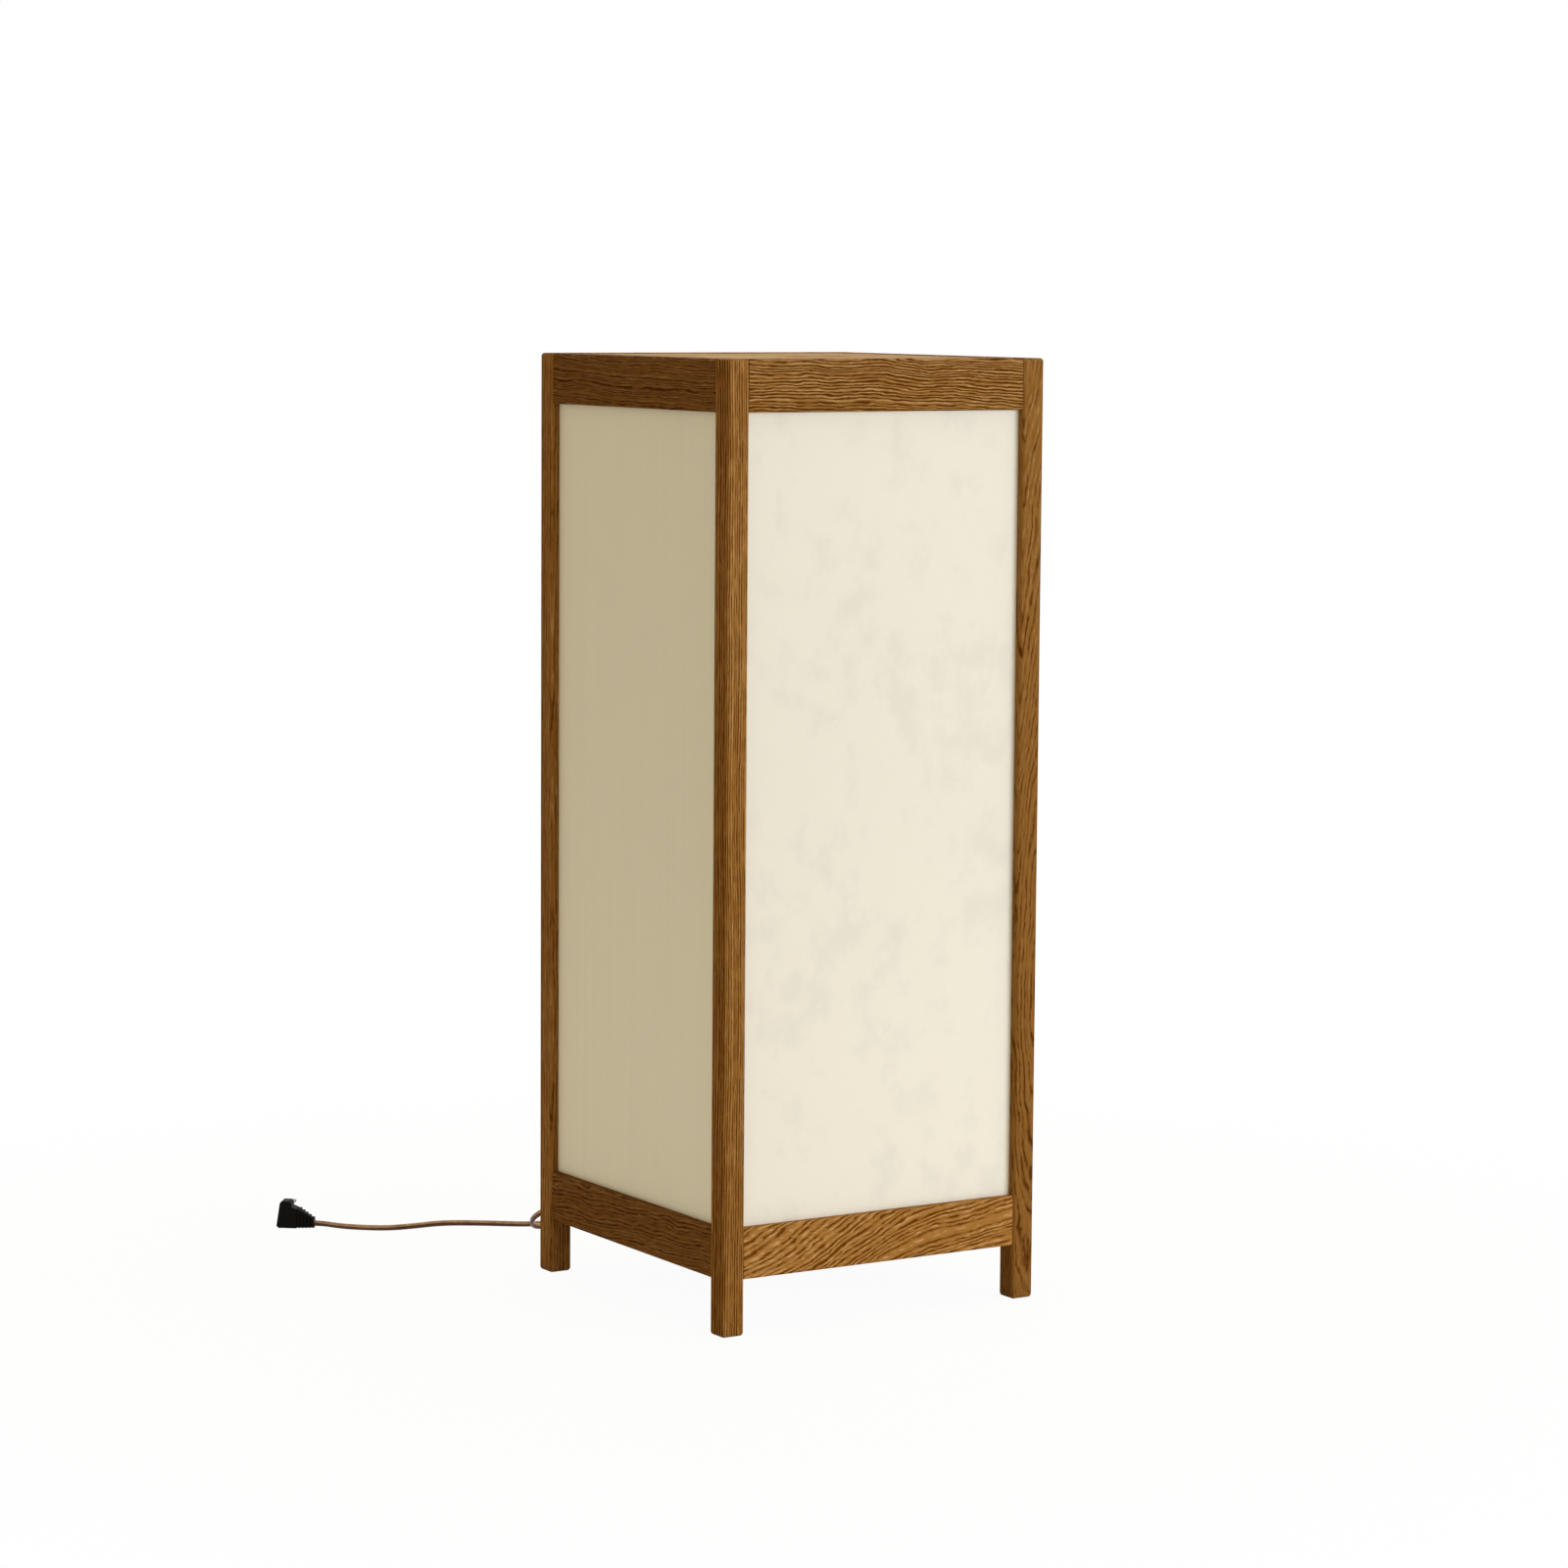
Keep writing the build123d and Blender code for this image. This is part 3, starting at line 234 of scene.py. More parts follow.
# ---- Shared effects.  A scale is a pattern's pace for each metre, on X, Y and Z or on all three. ----
@dataclass(frozen=True)
class GrainPattern:
    """Brushed growth rings round a pith, with jagged dark pores, raised ridges lightened with painted
    highlight, and fine fibres.

    The pith lies along the vector's Z.  The spans of a ring run from 0, where its dark line starts, to 1.
    """

    wave_scale: Point = (10.0, 10.0, 4.5)
    ripple_scale: Point = (34.0, 34.0, 24.0)
    jag_scale: Point = (330.0, 330.0, 110.0)
    jag_share: float = 0.20
    least_jag: float = 0.0006
    season_pace: float = 0.35
    season_swing: float = 1.5
    line_rise: Span = (0.0, 0.13)
    line_fall: Span = (0.22, 0.56)
    ridge_rise: Span = (0.50, 0.70)
    ridge_fall: Span = (0.74, 1.0)
    year_swing: float = 0.55
    pore_scale: Point = (300.0, 300.0, 75.0)
    pore_span: Span = (0.38, 0.57)
    pore_strength: Span = (0.30, 1.0)
    glint_scale: Point = (420.0, 420.0, 70.0)
    glint_span: Span = (0.42, 0.62)
    glint_strength: Span = (0.2, 1.0)
    fibre_scale: Point = (1300.0, 1300.0, 60.0)
    fibre_gain: float = 0.62
    thread_scale: Point = (460.0, 460.0, 12.0)
    thread_gain: float = 0.42
    tone_scale: Point = (22.0, 22.0, 4.0)
    tone_gain: float = 0.40
    streak_gain: float = 1.02
    ridge_gain: float = -0.30
    middle: float = 0.42
    smoothest: float = 0.50
    rough_swing: float = 0.14
    fibre_height: float = 0.4
    ridge_height: float = 0.6

    def bend(self, sheet: NodeSheet, start: Any) -> bpy.types.NodeSocket:
        """Bends the place by broad waves, ripples and fine jags.

        Args:
            sheet: the group's sheet.
            start: the group's inputs.

        Returns:
            The bent place.
        """
        place = bent = start["Vector"]
        jag = sheet.maths("MULTIPLY_ADD", start["Ripple"], self.jag_share, self.least_jag)
        for scale, detail, reach in (
            (self.wave_scale, 1.0, start["Wave"]),
            (self.ripple_scale, 1.5, start["Ripple"]),
            (self.jag_scale, 2.0, jag),
        ):
            drift = sheet.vector("SUBTRACT", sheet.noise(place, scale, detail).outputs[1], (0.5, 0.5, 0.5))
            bent = sheet.vector("ADD", bent, sheet.scaled(drift, reach))
        return bent

    def rings(self, sheet: NodeSheet, bent: Any, ring_width: Any) -> tuple:
        """Cuts the bent place into growth rings of uneven width.

        Args:
            sheet: the group's sheet.
            bent: the bent place.
            ring_width: the rings' mean width.

        Returns:
            The share of its ring that a place is at, and the ring's own strength.
        """
        distance = sheet.length(sheet.vector("MULTIPLY", bent, (1.0, 1.0, 0.0)))
        even = sheet.maths("DIVIDE", distance, ring_width)
        slow = {"W": even, "Scale": self.season_pace, "Detail": 1.0}
        season = sheet.add("TexNoise", slow, noise_dimensions="1D").outputs[0]
        ring = sheet.maths("MULTIPLY_ADD", season, self.season_swing, even)
        number = {"W": sheet.maths("FLOOR", ring)}
        year = sheet.add("TexWhiteNoise", number, noise_dimensions="1D").outputs["Value"]
        strength = sheet.maths("MULTIPLY_ADD", year, self.year_swing, 1.0 - self.year_swing)
        return sheet.maths("FRACT", ring), strength

    @cache
    def build(self) -> bpy.types.NodeTree:
        """Builds the node group, once for all its users.

        Returns:
            The group's tree, which gives a colour, a roughness and a height.
        """
        tree, sheet, start, end = make_group(
            "wood_grain",
            {
                "Vector": ("Vector",),
                "Float": ("Ring Width", "Wave", "Ripple", "Figure"),
                "Color": ("Light", "Middle", "Dark"),
            },
            {"Color": ("Color",), "Float": ("Roughness", "Height")},
        )
        place = start["Vector"]
        share, year = self.rings(sheet, self.bend(sheet, start), start["Ring Width"])
        pore = sheet.ramp(sheet.value_noise(place, self.pore_scale), self.pore_span, self.pore_strength)
        glint = sheet.ramp(sheet.value_noise(place, self.glint_scale), self.glint_span, self.glint_strength)
        line = sheet.band(share, self.line_rise, self.line_fall)
        streak = sheet.maths("MULTIPLY", line, sheet.maths("MULTIPLY", year, pore))
        # Painted highlight: the raised ridges are lightened as if they caught the light.
        painted_ridge_highlight = sheet.maths("MULTIPLY", sheet.band(share, self.ridge_rise, self.ridge_fall), glint)
        fibre = sheet.value_noise(place, self.fibre_scale, rough=0.6)
        thread = sheet.value_noise(place, self.thread_scale, detail=3.0, rough=0.6)
        tone = sheet.value_noise(place, self.tone_scale)
        dark = sheet.maths("MULTIPLY", streak, self.streak_gain)
        lined = sheet.maths("MULTIPLY_ADD", painted_ridge_highlight, self.ridge_gain, dark)
        figured = sheet.maths("MULTIPLY_ADD", lined, start["Figure"], self.middle)
        for part, gain in ((fibre, self.fibre_gain), (thread, self.thread_gain), (tone, self.tone_gain)):
            figured = sheet.maths("ADD", figured, sheet.maths("MULTIPLY_ADD", part, gain, -0.5 * gain))
        timber = sheet.mix(sheet.ramp(figured, (0.0, self.middle)), start["Light"], start["Middle"])
        ridged = sheet.maths("MULTIPLY", painted_ridge_highlight, self.ridge_height)
        raised = sheet.maths("MULTIPLY_ADD", fibre, self.fibre_height, ridged)
        sheet.fill(
            end,
            {
                "Color": sheet.mix(sheet.ramp(figured, (self.middle, 1.0)), timber, start["Dark"]),
                "Roughness": sheet.maths("MULTIPLY_ADD", figured, self.rough_swing, self.smoothest),
                "Height": sheet.maths("SUBTRACT", raised, streak),
            },
        )
        return tree


@dataclass(frozen=True)
class WearAndPaintedLightPattern:
    """Scuffs near the floor, rubbing with a painted highlight just under a top edge, and painted shade on the
    left faces.
    """

    blotch_scale: Point = (140.0, 140.0, 90.0)
    blotch_span: Span = (0.42, 0.66)
    # A band just under a top edge, lightened in patches: rubbing, and a painted highlight on the eased edge.
    rub_rise: Span = (0.0, 0.0006)
    rub_fall: Span = (0.0010, 0.0032)
    rubbed: Colour = (0.46, 0.29, 0.14)
    scuff_fall: Span = (0.002, 0.016)
    scuffed: Colour = (0.06, 0.035, 0.02)
    # How far the painted shade on the left faces reaches in from the left side, and its tint.
    patina_fall: Span = (0.0003, 0.0016)
    aged: Colour = (0.74, 0.67, 0.50)

    @cache
    def build(self) -> bpy.types.NodeTree:
        """Builds the node group, once for all its users.

        Returns:
            The group's tree, which gives a colour.
        """
        tree, sheet, start, end = make_group(
            "wear_and_painted_light_group",
            {"Color": ("Color",), "Vector": ("Vector",), "Float": ("Top", "Amount", "Painted Left Shade")},
            {"Color": ("Color",)},
        )
        place = start["Vector"]
        across, _, height = sheet.parts(place)
        blotch = sheet.value_noise(place, self.blotch_scale, detail=4.0, rough=0.65)
        patchy_wear_and_highlight = sheet.maths("MULTIPLY", sheet.ramp(blotch, self.blotch_span), start["Amount"])
        # Painted highlight and rubbing on the band under the top edge.
        rub_and_highlight = sheet.band(sheet.maths("SUBTRACT", start["Top"], height), self.rub_rise, self.rub_fall)
        scuff = sheet.fade(height, self.scuff_fall)
        paler = sheet.mix(sheet.maths("MULTIPLY", rub_and_highlight, patchy_wear_and_highlight), start["Color"], self.rubbed)
        marked = sheet.mix(sheet.maths("MULTIPLY", scuff, patchy_wear_and_highlight), paler, self.scuffed)
        # Painted shade: faces at the frame's left side are darkened and warmed, as they stand in shade.
        from_left = sheet.maths("SUBTRACT", across, LEFT_SIDE)
        shade = sheet.maths("MULTIPLY", sheet.fade(from_left, self.patina_fall), start["Painted Left Shade"])
        darker = sheet.mix(1.0, marked, self.aged, "MULTIPLY")
        sheet.fill(end, {"Color": sheet.mix(shade, marked, darker)})
        return tree


@dataclass(frozen=True)
class SpecklePattern:
    """Cloudy tone, fine texture and dust for moulded, rolled and pressed surfaces."""

    cloud_detail: float = 4.0
    fine_detail: float = 2.0
    rough_swing: float = 0.16
    cloud_height: float = 0.5

    @cache
    def build(self) -> bpy.types.NodeTree:
        """Builds the node group, once for all its users.

        Returns:
            The group's tree, which gives a colour, a roughness and a height.
        """
        tree, sheet, start, end = make_group(
            "surface_speckle",
            {
                "Color": ("Color",),
                "Vector": ("Vector",),
                "Float": ("Cloud Scale", "Fine Scale", "Contrast", "Base Roughness"),
            },
            {"Color": ("Color",), "Float": ("Roughness", "Height")},
        )
        cloud = sheet.value_noise(start["Vector"], start["Cloud Scale"], self.cloud_detail)
        fine = sheet.value_noise(start["Vector"], start["Fine Scale"], self.fine_detail)
        swing = sheet.maths("MULTIPLY", sheet.maths("SUBTRACT", cloud, 0.5), start["Contrast"])
        dust = sheet.maths("MULTIPLY_ADD", cloud, self.rough_swing, -self.rough_swing / 2.0)
        sheet.fill(
            end,
            {
                "Color": sheet.tinted(start["Color"], sheet.maths("MULTIPLY_ADD", swing, 2.0, 1.0)),
                "Roughness": sheet.maths("ADD", start["Base Roughness"], dust),
                "Height": sheet.maths("MULTIPLY_ADD", cloud, self.cloud_height, fine),
            },
        )
        return tree


# ---- Finishes ----
class GrainRun(Enum):
    """The way that a board's grain runs, as the turn that brings local Z along it."""

    UPRIGHT = (0.0, 0.0, 0.0)
    CROSSWAYS = (0.0, 90.0, 0.0)
    LENGTHWAYS = (90.0, 0.0, 0.0)

    @classmethod
    def along(cls, side: str) -> "GrainRun":
        """The way that a piece on one of the frame's sides runs."""
        return cls.CROSSWAYS if side in ("front", "rear") else cls.LENGTHWAYS


@dataclass(frozen=True)
class Stain:
    """The three tones of a stained board, from its raised ridges, where the lightest tone partly carries
    painted highlight, to its pores.
    """

    light: Colour
    middle: Colour
    dark: Colour
    coat: Colour = (0.75, 0.70, 0.60)

    def laid(self, gain: float, coats: float) -> "Stain":
        """The stain on a paler or darker board.

        Args:
            gain: how light the timber under the stain is.
            coats: further layers of stain, each of which darkens and warms the tone; on the left rails they
                stand for painted shade.

        Returns:
            The stain with its tones changed.
        """
        tones = [
            tuple(part * gain * coat**coats for part, coat in zip(tone, self.coat))
            for tone in (self.light, self.middle, self.dark)
        ]
        return Stain(*tones)


OAK_STAIN = Stain((0.470, 0.270, 0.098), (0.285, 0.127, 0.027), (0.104, 0.032, 0.0020))
VENEER_STAIN = Stain((0.58, 0.380, 0.145), (0.47, 0.282, 0.097), (0.26, 0.130, 0.034))
PINE_STAIN = Stain((0.66, 0.49, 0.30), (0.54, 0.38, 0.21), (0.36, 0.22, 0.10))


class Finish:
    """What a piece's surface is like."""

    relief: float
    relief_depth: float
    gloss: float

    def make(self) -> bpy.types.Material:
        """Builds the material."""
        raise NotImplementedError

    def lay(self, sheet: NodeSheet, shader: bpy.types.Node, colour: Any, rough: Any, height: Any) -> None:
        """Joins a pattern to the shader, with the surface's own relief and gloss.

        Args:
            sheet: the material's sheet.
            shader: its shader node.
            colour: the pattern's colour.
            rough: its roughness.
            height: its height.
        """
        normal = sheet.bump(height, self.relief, self.relief_depth)
        sheet.fill(shader, {"Base Color": colour, "Roughness": rough, "Normal": normal})
        sheet.fill(shader, {"Specular IOR Level": self.gloss})


@dataclass(frozen=True)
class WoodFinish(Finish):
    """One board's timber: where its pith lies, how its grain runs and how it is stained."""

    name: str
    run: GrainRun
    pith: Point
    stain: Stain
    lean: Span = (0.0, 0.0)
    ring_width: float = 0.0022
    wave: float = 0.010
    ripple: float = 0.004
    figure: float = 1.0
    # Where the band of rubbing and painted highlight sits, how strong it and the scuffs are, and the painted
    # shade on the left face.
    wear_top: float = FRAME_TOP
    wear: float = 0.22
    patina: float = 0.0
    gloss: float = 0.012
    relief: float = 0.7
    relief_depth: float = 0.0005

    def make(self) -> bpy.types.Material:
        """Builds the material.

        Returns:
            The board's material.
        """
        material, sheet, shader, place = open_material(self.name)
        turn = tuple(math.radians(base + lean) for base, lean in zip(self.run.value, (*self.lean, 0.0)))
        laid = {"Vector": place, "Location": self.pith, "Rotation": turn}
        timber = {
            "Vector": sheet.add("Mapping", laid, vector_type="TEXTURE").outputs[0],
            "Ring Width": self.ring_width,
            "Wave": self.wave,
            "Ripple": self.ripple,
            "Figure": self.figure,
            "Light": self.stain.light,
            "Middle": self.stain.middle,
            "Dark": self.stain.dark,
        }
        grain = sheet.add("Group", timber, node_tree=GrainPattern().build()).outputs
        used = {
            "Color": grain["Color"],
            "Vector": place,
            "Top": self.wear_top,
            "Amount": self.wear,
            "Painted Left Shade": self.patina,
        }
        wear = sheet.add("Group", used, node_tree=WearAndPaintedLightPattern().build()).outputs
        self.lay(sheet, shader, wear["Color"], grain["Roughness"], grain["Height"])
        return material


@dataclass(frozen=True)
class MouldedFinish(Finish):
    """A moulded, rolled or pressed surface with a fine texture."""

    name: str
    colour: Colour
    roughness: float = 0.4
    metallic: float = 0.0
    contrast: float = 0.12
    cloud_scale: float = 60.0
    fine_scale: float = 1800.0
    relief: float = 0.2
    relief_depth: float = 0.0002
    gloss: float = 0.5

    def make(self) -> bpy.types.Material:
        """Builds the material.

        Returns:
            The surface's material.
        """
        material, sheet, shader, place = open_material(self.name)
        surface = {
            "Vector": place,
            "Color": self.colour,
            "Cloud Scale": self.cloud_scale,
            "Fine Scale": self.fine_scale,
            "Contrast": self.contrast,
            "Base Roughness": self.roughness,
        }
        speckle = sheet.add("Group", surface, node_tree=SpecklePattern().build()).outputs
        self.lay(sheet, shader, speckle["Color"], speckle["Roughness"], speckle["Height"])
        sheet.fill(shader, {"Metallic": self.metallic})
        return material


@dataclass(frozen=True)
class PaperFinish(Finish):
    """Laminated paper: a cloudy off-white sheet with long faint fibres, with painted light making it a little
    lighter towards its foot.
    """

    name: str
    colour: Colour
    cloud: Colour
    shift: Point = (0.0, 0.0, 0.0)
    broad_scale: Point = (9.0, 9.0, 8.0)
    broad_share: float = 0.55
    small_scale: Point = (44.0, 44.0, 36.0)
    cloud_span: Span = (0.76, 1.00)
    cloudiness: float = 1.0
    strand_scale: Point = (64.0, 64.0, 58.0)
    strand_edge: Span = (0.001, 0.006)
    strand_breaks: Span = (0.50, 0.62)
    strand_share: float = 0.16
    strand_colour: Colour = (0.93, 0.91, 0.86)
    strand_height: float = 1.2
    pulp_scale: float = 1300.0
    pulp_swing: float = 0.030
    pulp_height: float = 0.5
    laid_scale: Point = (420.0, 420.0, 26.0)
    laid_swing: float = 0.010
    foot_span: Span = (0.07, 0.42)
    foot_gain: float = 1.06
    smoothest: float = 0.55
    rough_swing: float = 0.2
    relief: float = 0.12
    relief_depth: float = 0.0003
    gloss: float = 0.25

    def make(self) -> bpy.types.Material:
        """Builds the material.

        Returns:
            The sheet's material.
        """
        material, sheet, shader, place = open_material(self.name)
        moved = sheet.vector("ADD", place, self.shift)
        broad = sheet.value_noise(moved, self.broad_scale)
        small = sheet.value_noise(moved, self.small_scale, 4.0, 0.58)
        pulp = sheet.value_noise(moved, (self.pulp_scale,) * 3, 3.0, 0.6)
        laid = sheet.value_noise(moved, self.laid_scale, 2.0, 0.6)
        haze = sheet.maths("MULTIPLY_ADD", broad, self.broad_share, small)
        cloud = sheet.maths("MULTIPLY", sheet.ramp(haze, self.cloud_span), self.cloudiness)
        contour = sheet.value_noise(moved, self.strand_scale, 1.5)
        edge = sheet.maths("ABSOLUTE", sheet.maths("SUBTRACT", contour, 0.5))
        strands = sheet.fade(edge, self.strand_edge)
        broken = sheet.maths("MULTIPLY", strands, sheet.ramp(small, self.strand_breaks))
        strand = sheet.maths("MULTIPLY", broken, self.strand_share)
        fibred = sheet.mix(strand, sheet.mix(cloud, self.colour, self.cloud), self.strand_colour)
        mean = 1.0 - (self.pulp_swing + self.laid_swing) / 2.0
        grainy = sheet.maths("MULTIPLY_ADD", pulp, self.pulp_swing, mean)
        lined = sheet.maths("MULTIPLY_ADD", laid, self.laid_swing, grainy)
        # Painted light: the sheet is made lighter towards its foot.
        foot = sheet.ramp(sheet.parts(place)[2], self.foot_span, (self.foot_gain, 1.0))
        pulped = sheet.maths("MULTIPLY", pulp, self.pulp_height)
        height = sheet.maths("MULTIPLY_ADD", strand, self.strand_height, pulped)
        rough = sheet.maths("MULTIPLY_ADD", small, self.rough_swing, self.smoothest)
        self.lay(sheet, shader, sheet.tinted(fibred, sheet.maths("MULTIPLY", lined, foot)), rough, height)
        return material


@dataclass(frozen=True)
class LeadFinish(Finish):
    """Clear brown vinyl on two cores, the upper one lit by painted light and the lower one darkened by
    painted shade, with painted shade between them.
    """

    name: str
    pale: Colour
    dark: Colour
    gap: Colour
    side_edge: Span = (-0.25, 0.25)
    gap_edge: Span = (0.0, 0.45)
    cloud_scale: float = 90.0
    cloud_share: float = 0.7
    strand_scale: float = 700.0
    shade_span: Span = (0.30, 0.70)
    shade_gain: Span = (0.70, 1.30)
    rough_span: Span = (0.3, 0.7)
    roughness: Span = (0.22, 0.38)
    relief: float = 0.15
    relief_depth: float = 0.0002
    gloss: float = 0.2
    coat: float = 0.06
    coat_roughness: float = 0.2

    def make(self) -> bpy.types.Material:
        """Builds the material, which reads the tube's own UV map: its Y runs round the section.

        Returns:
            The lead's material.
        """
        material, sheet, shader, place = open_material(self.name)
        around = sheet.parts(sheet.add("UVMap", uv_map="UVMap").outputs[0])[1]
        wave = sheet.maths("COSINE", sheet.maths("MULTIPLY", around, 2.0 * math.pi))
        # Painted shade in the groove where the two cores meet.
        painted_groove_mask = sheet.fade(sheet.maths("ABSOLUTE", wave), self.gap_edge)
        cloud = sheet.value_noise(place, (self.cloud_scale,) * 3, 3.0, 0.6)
        strands = sheet.value_noise(place, (self.strand_scale,) * 3, 2.0, 0.6)
        clouded = sheet.maths("MULTIPLY", cloud, self.cloud_share)
        shade = sheet.maths("MULTIPLY_ADD", strands, 1.0 - self.cloud_share, clouded)
        # Painted light on the upper core and painted shade on the lower one.
        core = sheet.mix(sheet.ramp(wave, self.side_edge), self.dark, self.pale)
        varied = sheet.tinted(core, sheet.ramp(shade, self.shade_span, self.shade_gain))
        rough = sheet.ramp(cloud, self.rough_span, self.roughness)
        self.lay(sheet, shader, sheet.mix(painted_groove_mask, varied, self.gap), rough, strands)
        sheet.fill(shader, {"Coat Weight": self.coat, "Coat Roughness": self.coat_roughness})
        return material


# ---- Studio ----
def show_white(sheet: NodeSheet) -> bpy.types.NodeSocket:
    """Finds the rays that see the background, directly, in a gloss or through glass.

    Args:
        sheet: the sheet of the background's nodes.

    Returns:
        1 on those rays and 0 on the others.
    """
    rays = sheet.add("LightPath").outputs
    seen = sheet.maths("MAXIMUM", rays["Is Camera Ray"], rays["Is Glossy Ray"])
    return sheet.maths("MAXIMUM", seen, rays["Is Transmission Ray"])


@dataclass(frozen=True)
class SoftBox:
    """A square lamp: its bearing from -Y towards +X and its rise in degrees, its distance and its light."""

    name: str
    azimuth: float
    elevation: float
    away: float
    side: float
    power: float
    colour: Colour

    def hang(self, middle: Point) -> None:
        """Adds the lamp to the scene.

        Args:
            middle: the point that it faces.
        """
        turn, rise = math.radians(self.azimuth), math.radians(self.elevation)
        way = Vector((math.sin(turn) * math.cos(rise), -math.cos(turn) * math.cos(rise), math.sin(rise)))
        data = bpy.data.lights.new(self.name, "AREA")
        data.size = self.side
        data.energy = self.power
        data.color = self.colour
        lamp = bpy.data.objects.new(self.name, data)
        lamp.location = Vector(middle) + way * self.away
        lamp.rotation_euler = way.to_track_quat("Z", "Y").to_euler()
        bpy.context.scene.collection.objects.link(lamp)


@dataclass
class Studio:
    """Camera, lamps, world and the floor that the lamp stands on."""

    azimuth: float = -32.065
    elevation: float = 6.282
    roll: float = 0.41
    target: Point = (-0.00131, 0.00082, 0.3531)
    distance: float = 3.175
    lens: float = 104.8
    sensor: float = 36.0
    floor_side: float = 14.0
    floor_colour: Colour = (0.95, 0.95, 0.95)
    shadow_span: Span = (0.30, 1.1)
    shadow_share: float = 0.045
    white: Colour = (1.0, 1.0, 1.0)
    ambient: Colour = (0.470, 0.415, 0.310)
    middle: Point = (0.0, 0.0, 0.33)
    soft_boxes: tuple[SoftBox, ...] = (
        SoftBox("key_soft_box", 30.0, 6.0, 2.6, 1.5, 38.0, (0.79, 0.86, 1.0)),
        SoftBox("left_soft_box", -105.0, 18.0, 2.8, 1.4, 3.2, (1.0, 0.71, 0.19)),
        SoftBox("rear_soft_box", 150.0, 34.0, 3.0, 1.6, 20.0, (1.0, 0.97, 0.93)),
        SoftBox("top_soft_box", 40.0, 78.0, 2.6, 1.6, 16.0, (1.0, 0.93, 0.80)),
    )

    def place_camera(self) -> None:
        """Creates the camera and makes it the scene's own."""
        azimuth, elevation, roll = (math.radians(a) for a in (self.azimuth, self.elevation, self.roll))
        level = math.cos(elevation)
        back = Vector((math.sin(azimuth) * level, -math.cos(azimuth) * level, math.sin(elevation)))
        right = Vector((math.cos(azimuth), math.sin(azimuth), 0.0))
        up = back.cross(right)
        rolled_right = right * math.cos(roll) + up * math.sin(roll)
        rolled_up = up * math.cos(roll) - right * math.sin(roll)
        turn = Matrix((rolled_right, rolled_up, back)).transposed().to_4x4()
        data = bpy.data.cameras.new("studio_camera")
        data.lens = self.lens
        data.sensor_width = self.sensor
        camera = bpy.data.objects.new("studio_camera", data)
        camera.matrix_world = Matrix.Translation(Vector(self.target) + back * self.distance) @ turn
        bpy.context.scene.collection.objects.link(camera)
        bpy.context.scene.camera = camera

    def lay_floor(self) -> None:
        """Makes the white floor, which keeps a soft shadow near the lamp."""
        mesh = bpy.data.meshes.new("studio_floor")
        square = bmesh.new()
        bmesh.ops.create_grid(square, x_segments=1, y_segments=1, size=self.floor_side / 2)
        square.to_mesh(mesh)
        square.free()
        floor = bpy.data.objects.new("studio_floor", mesh)
        bpy.context.scene.collection.objects.link(floor)
        material = bpy.data.materials.new("studio_white")
        material.use_nodes = True
        sheet = NodeSheet(material.node_tree)
        radius = sheet.length(sheet.add("TexCoord").outputs["Object"])
        share = sheet.ramp(radius, self.shadow_span, (1.0 - self.shadow_share, 1.0))
        seen = sheet.maths("MULTIPLY", show_white(sheet), share)
        diffuse = sheet.add("BsdfDiffuse", {"Color": self.floor_colour}).outputs[0]
        glow = sheet.add("Emission", {"Color": self.white, "Strength": 1.0}).outputs[0]
        mixed = sheet.add("MixShader", {0: seen, 1: diffuse, 2: glow}).outputs[0]
        sheet.add("OutputMaterial", {0: mixed})
        mesh.materials.append(material)

    def light_world(self) -> None:
        """Gives soft even light from all round, seen as white."""
        world = bpy.data.worlds.new("studio_world")
        world.use_nodes = True
        bpy.context.scene.world = world
        sheet = NodeSheet(world.node_tree)
        soft = sheet.add("Background", {"Color": self.ambient, "Strength": 1.0}).outputs[0]
        white = sheet.add("Background", {"Color": self.white, "Strength": 1.0}).outputs[0]
        mixed = sheet.add("MixShader", {0: show_white(sheet), 1: soft, 2: white}).outputs[0]
        sheet.add("OutputWorld", {0: mixed})

    def build(self) -> None:
        """Sets up the whole studio."""
        bpy.context.scene.view_settings.view_transform = "Standard"
        self.place_camera()
        self.light_world()
        self.lay_floor()
        for soft_box in self.soft_boxes:
            soft_box.hang(self.middle)


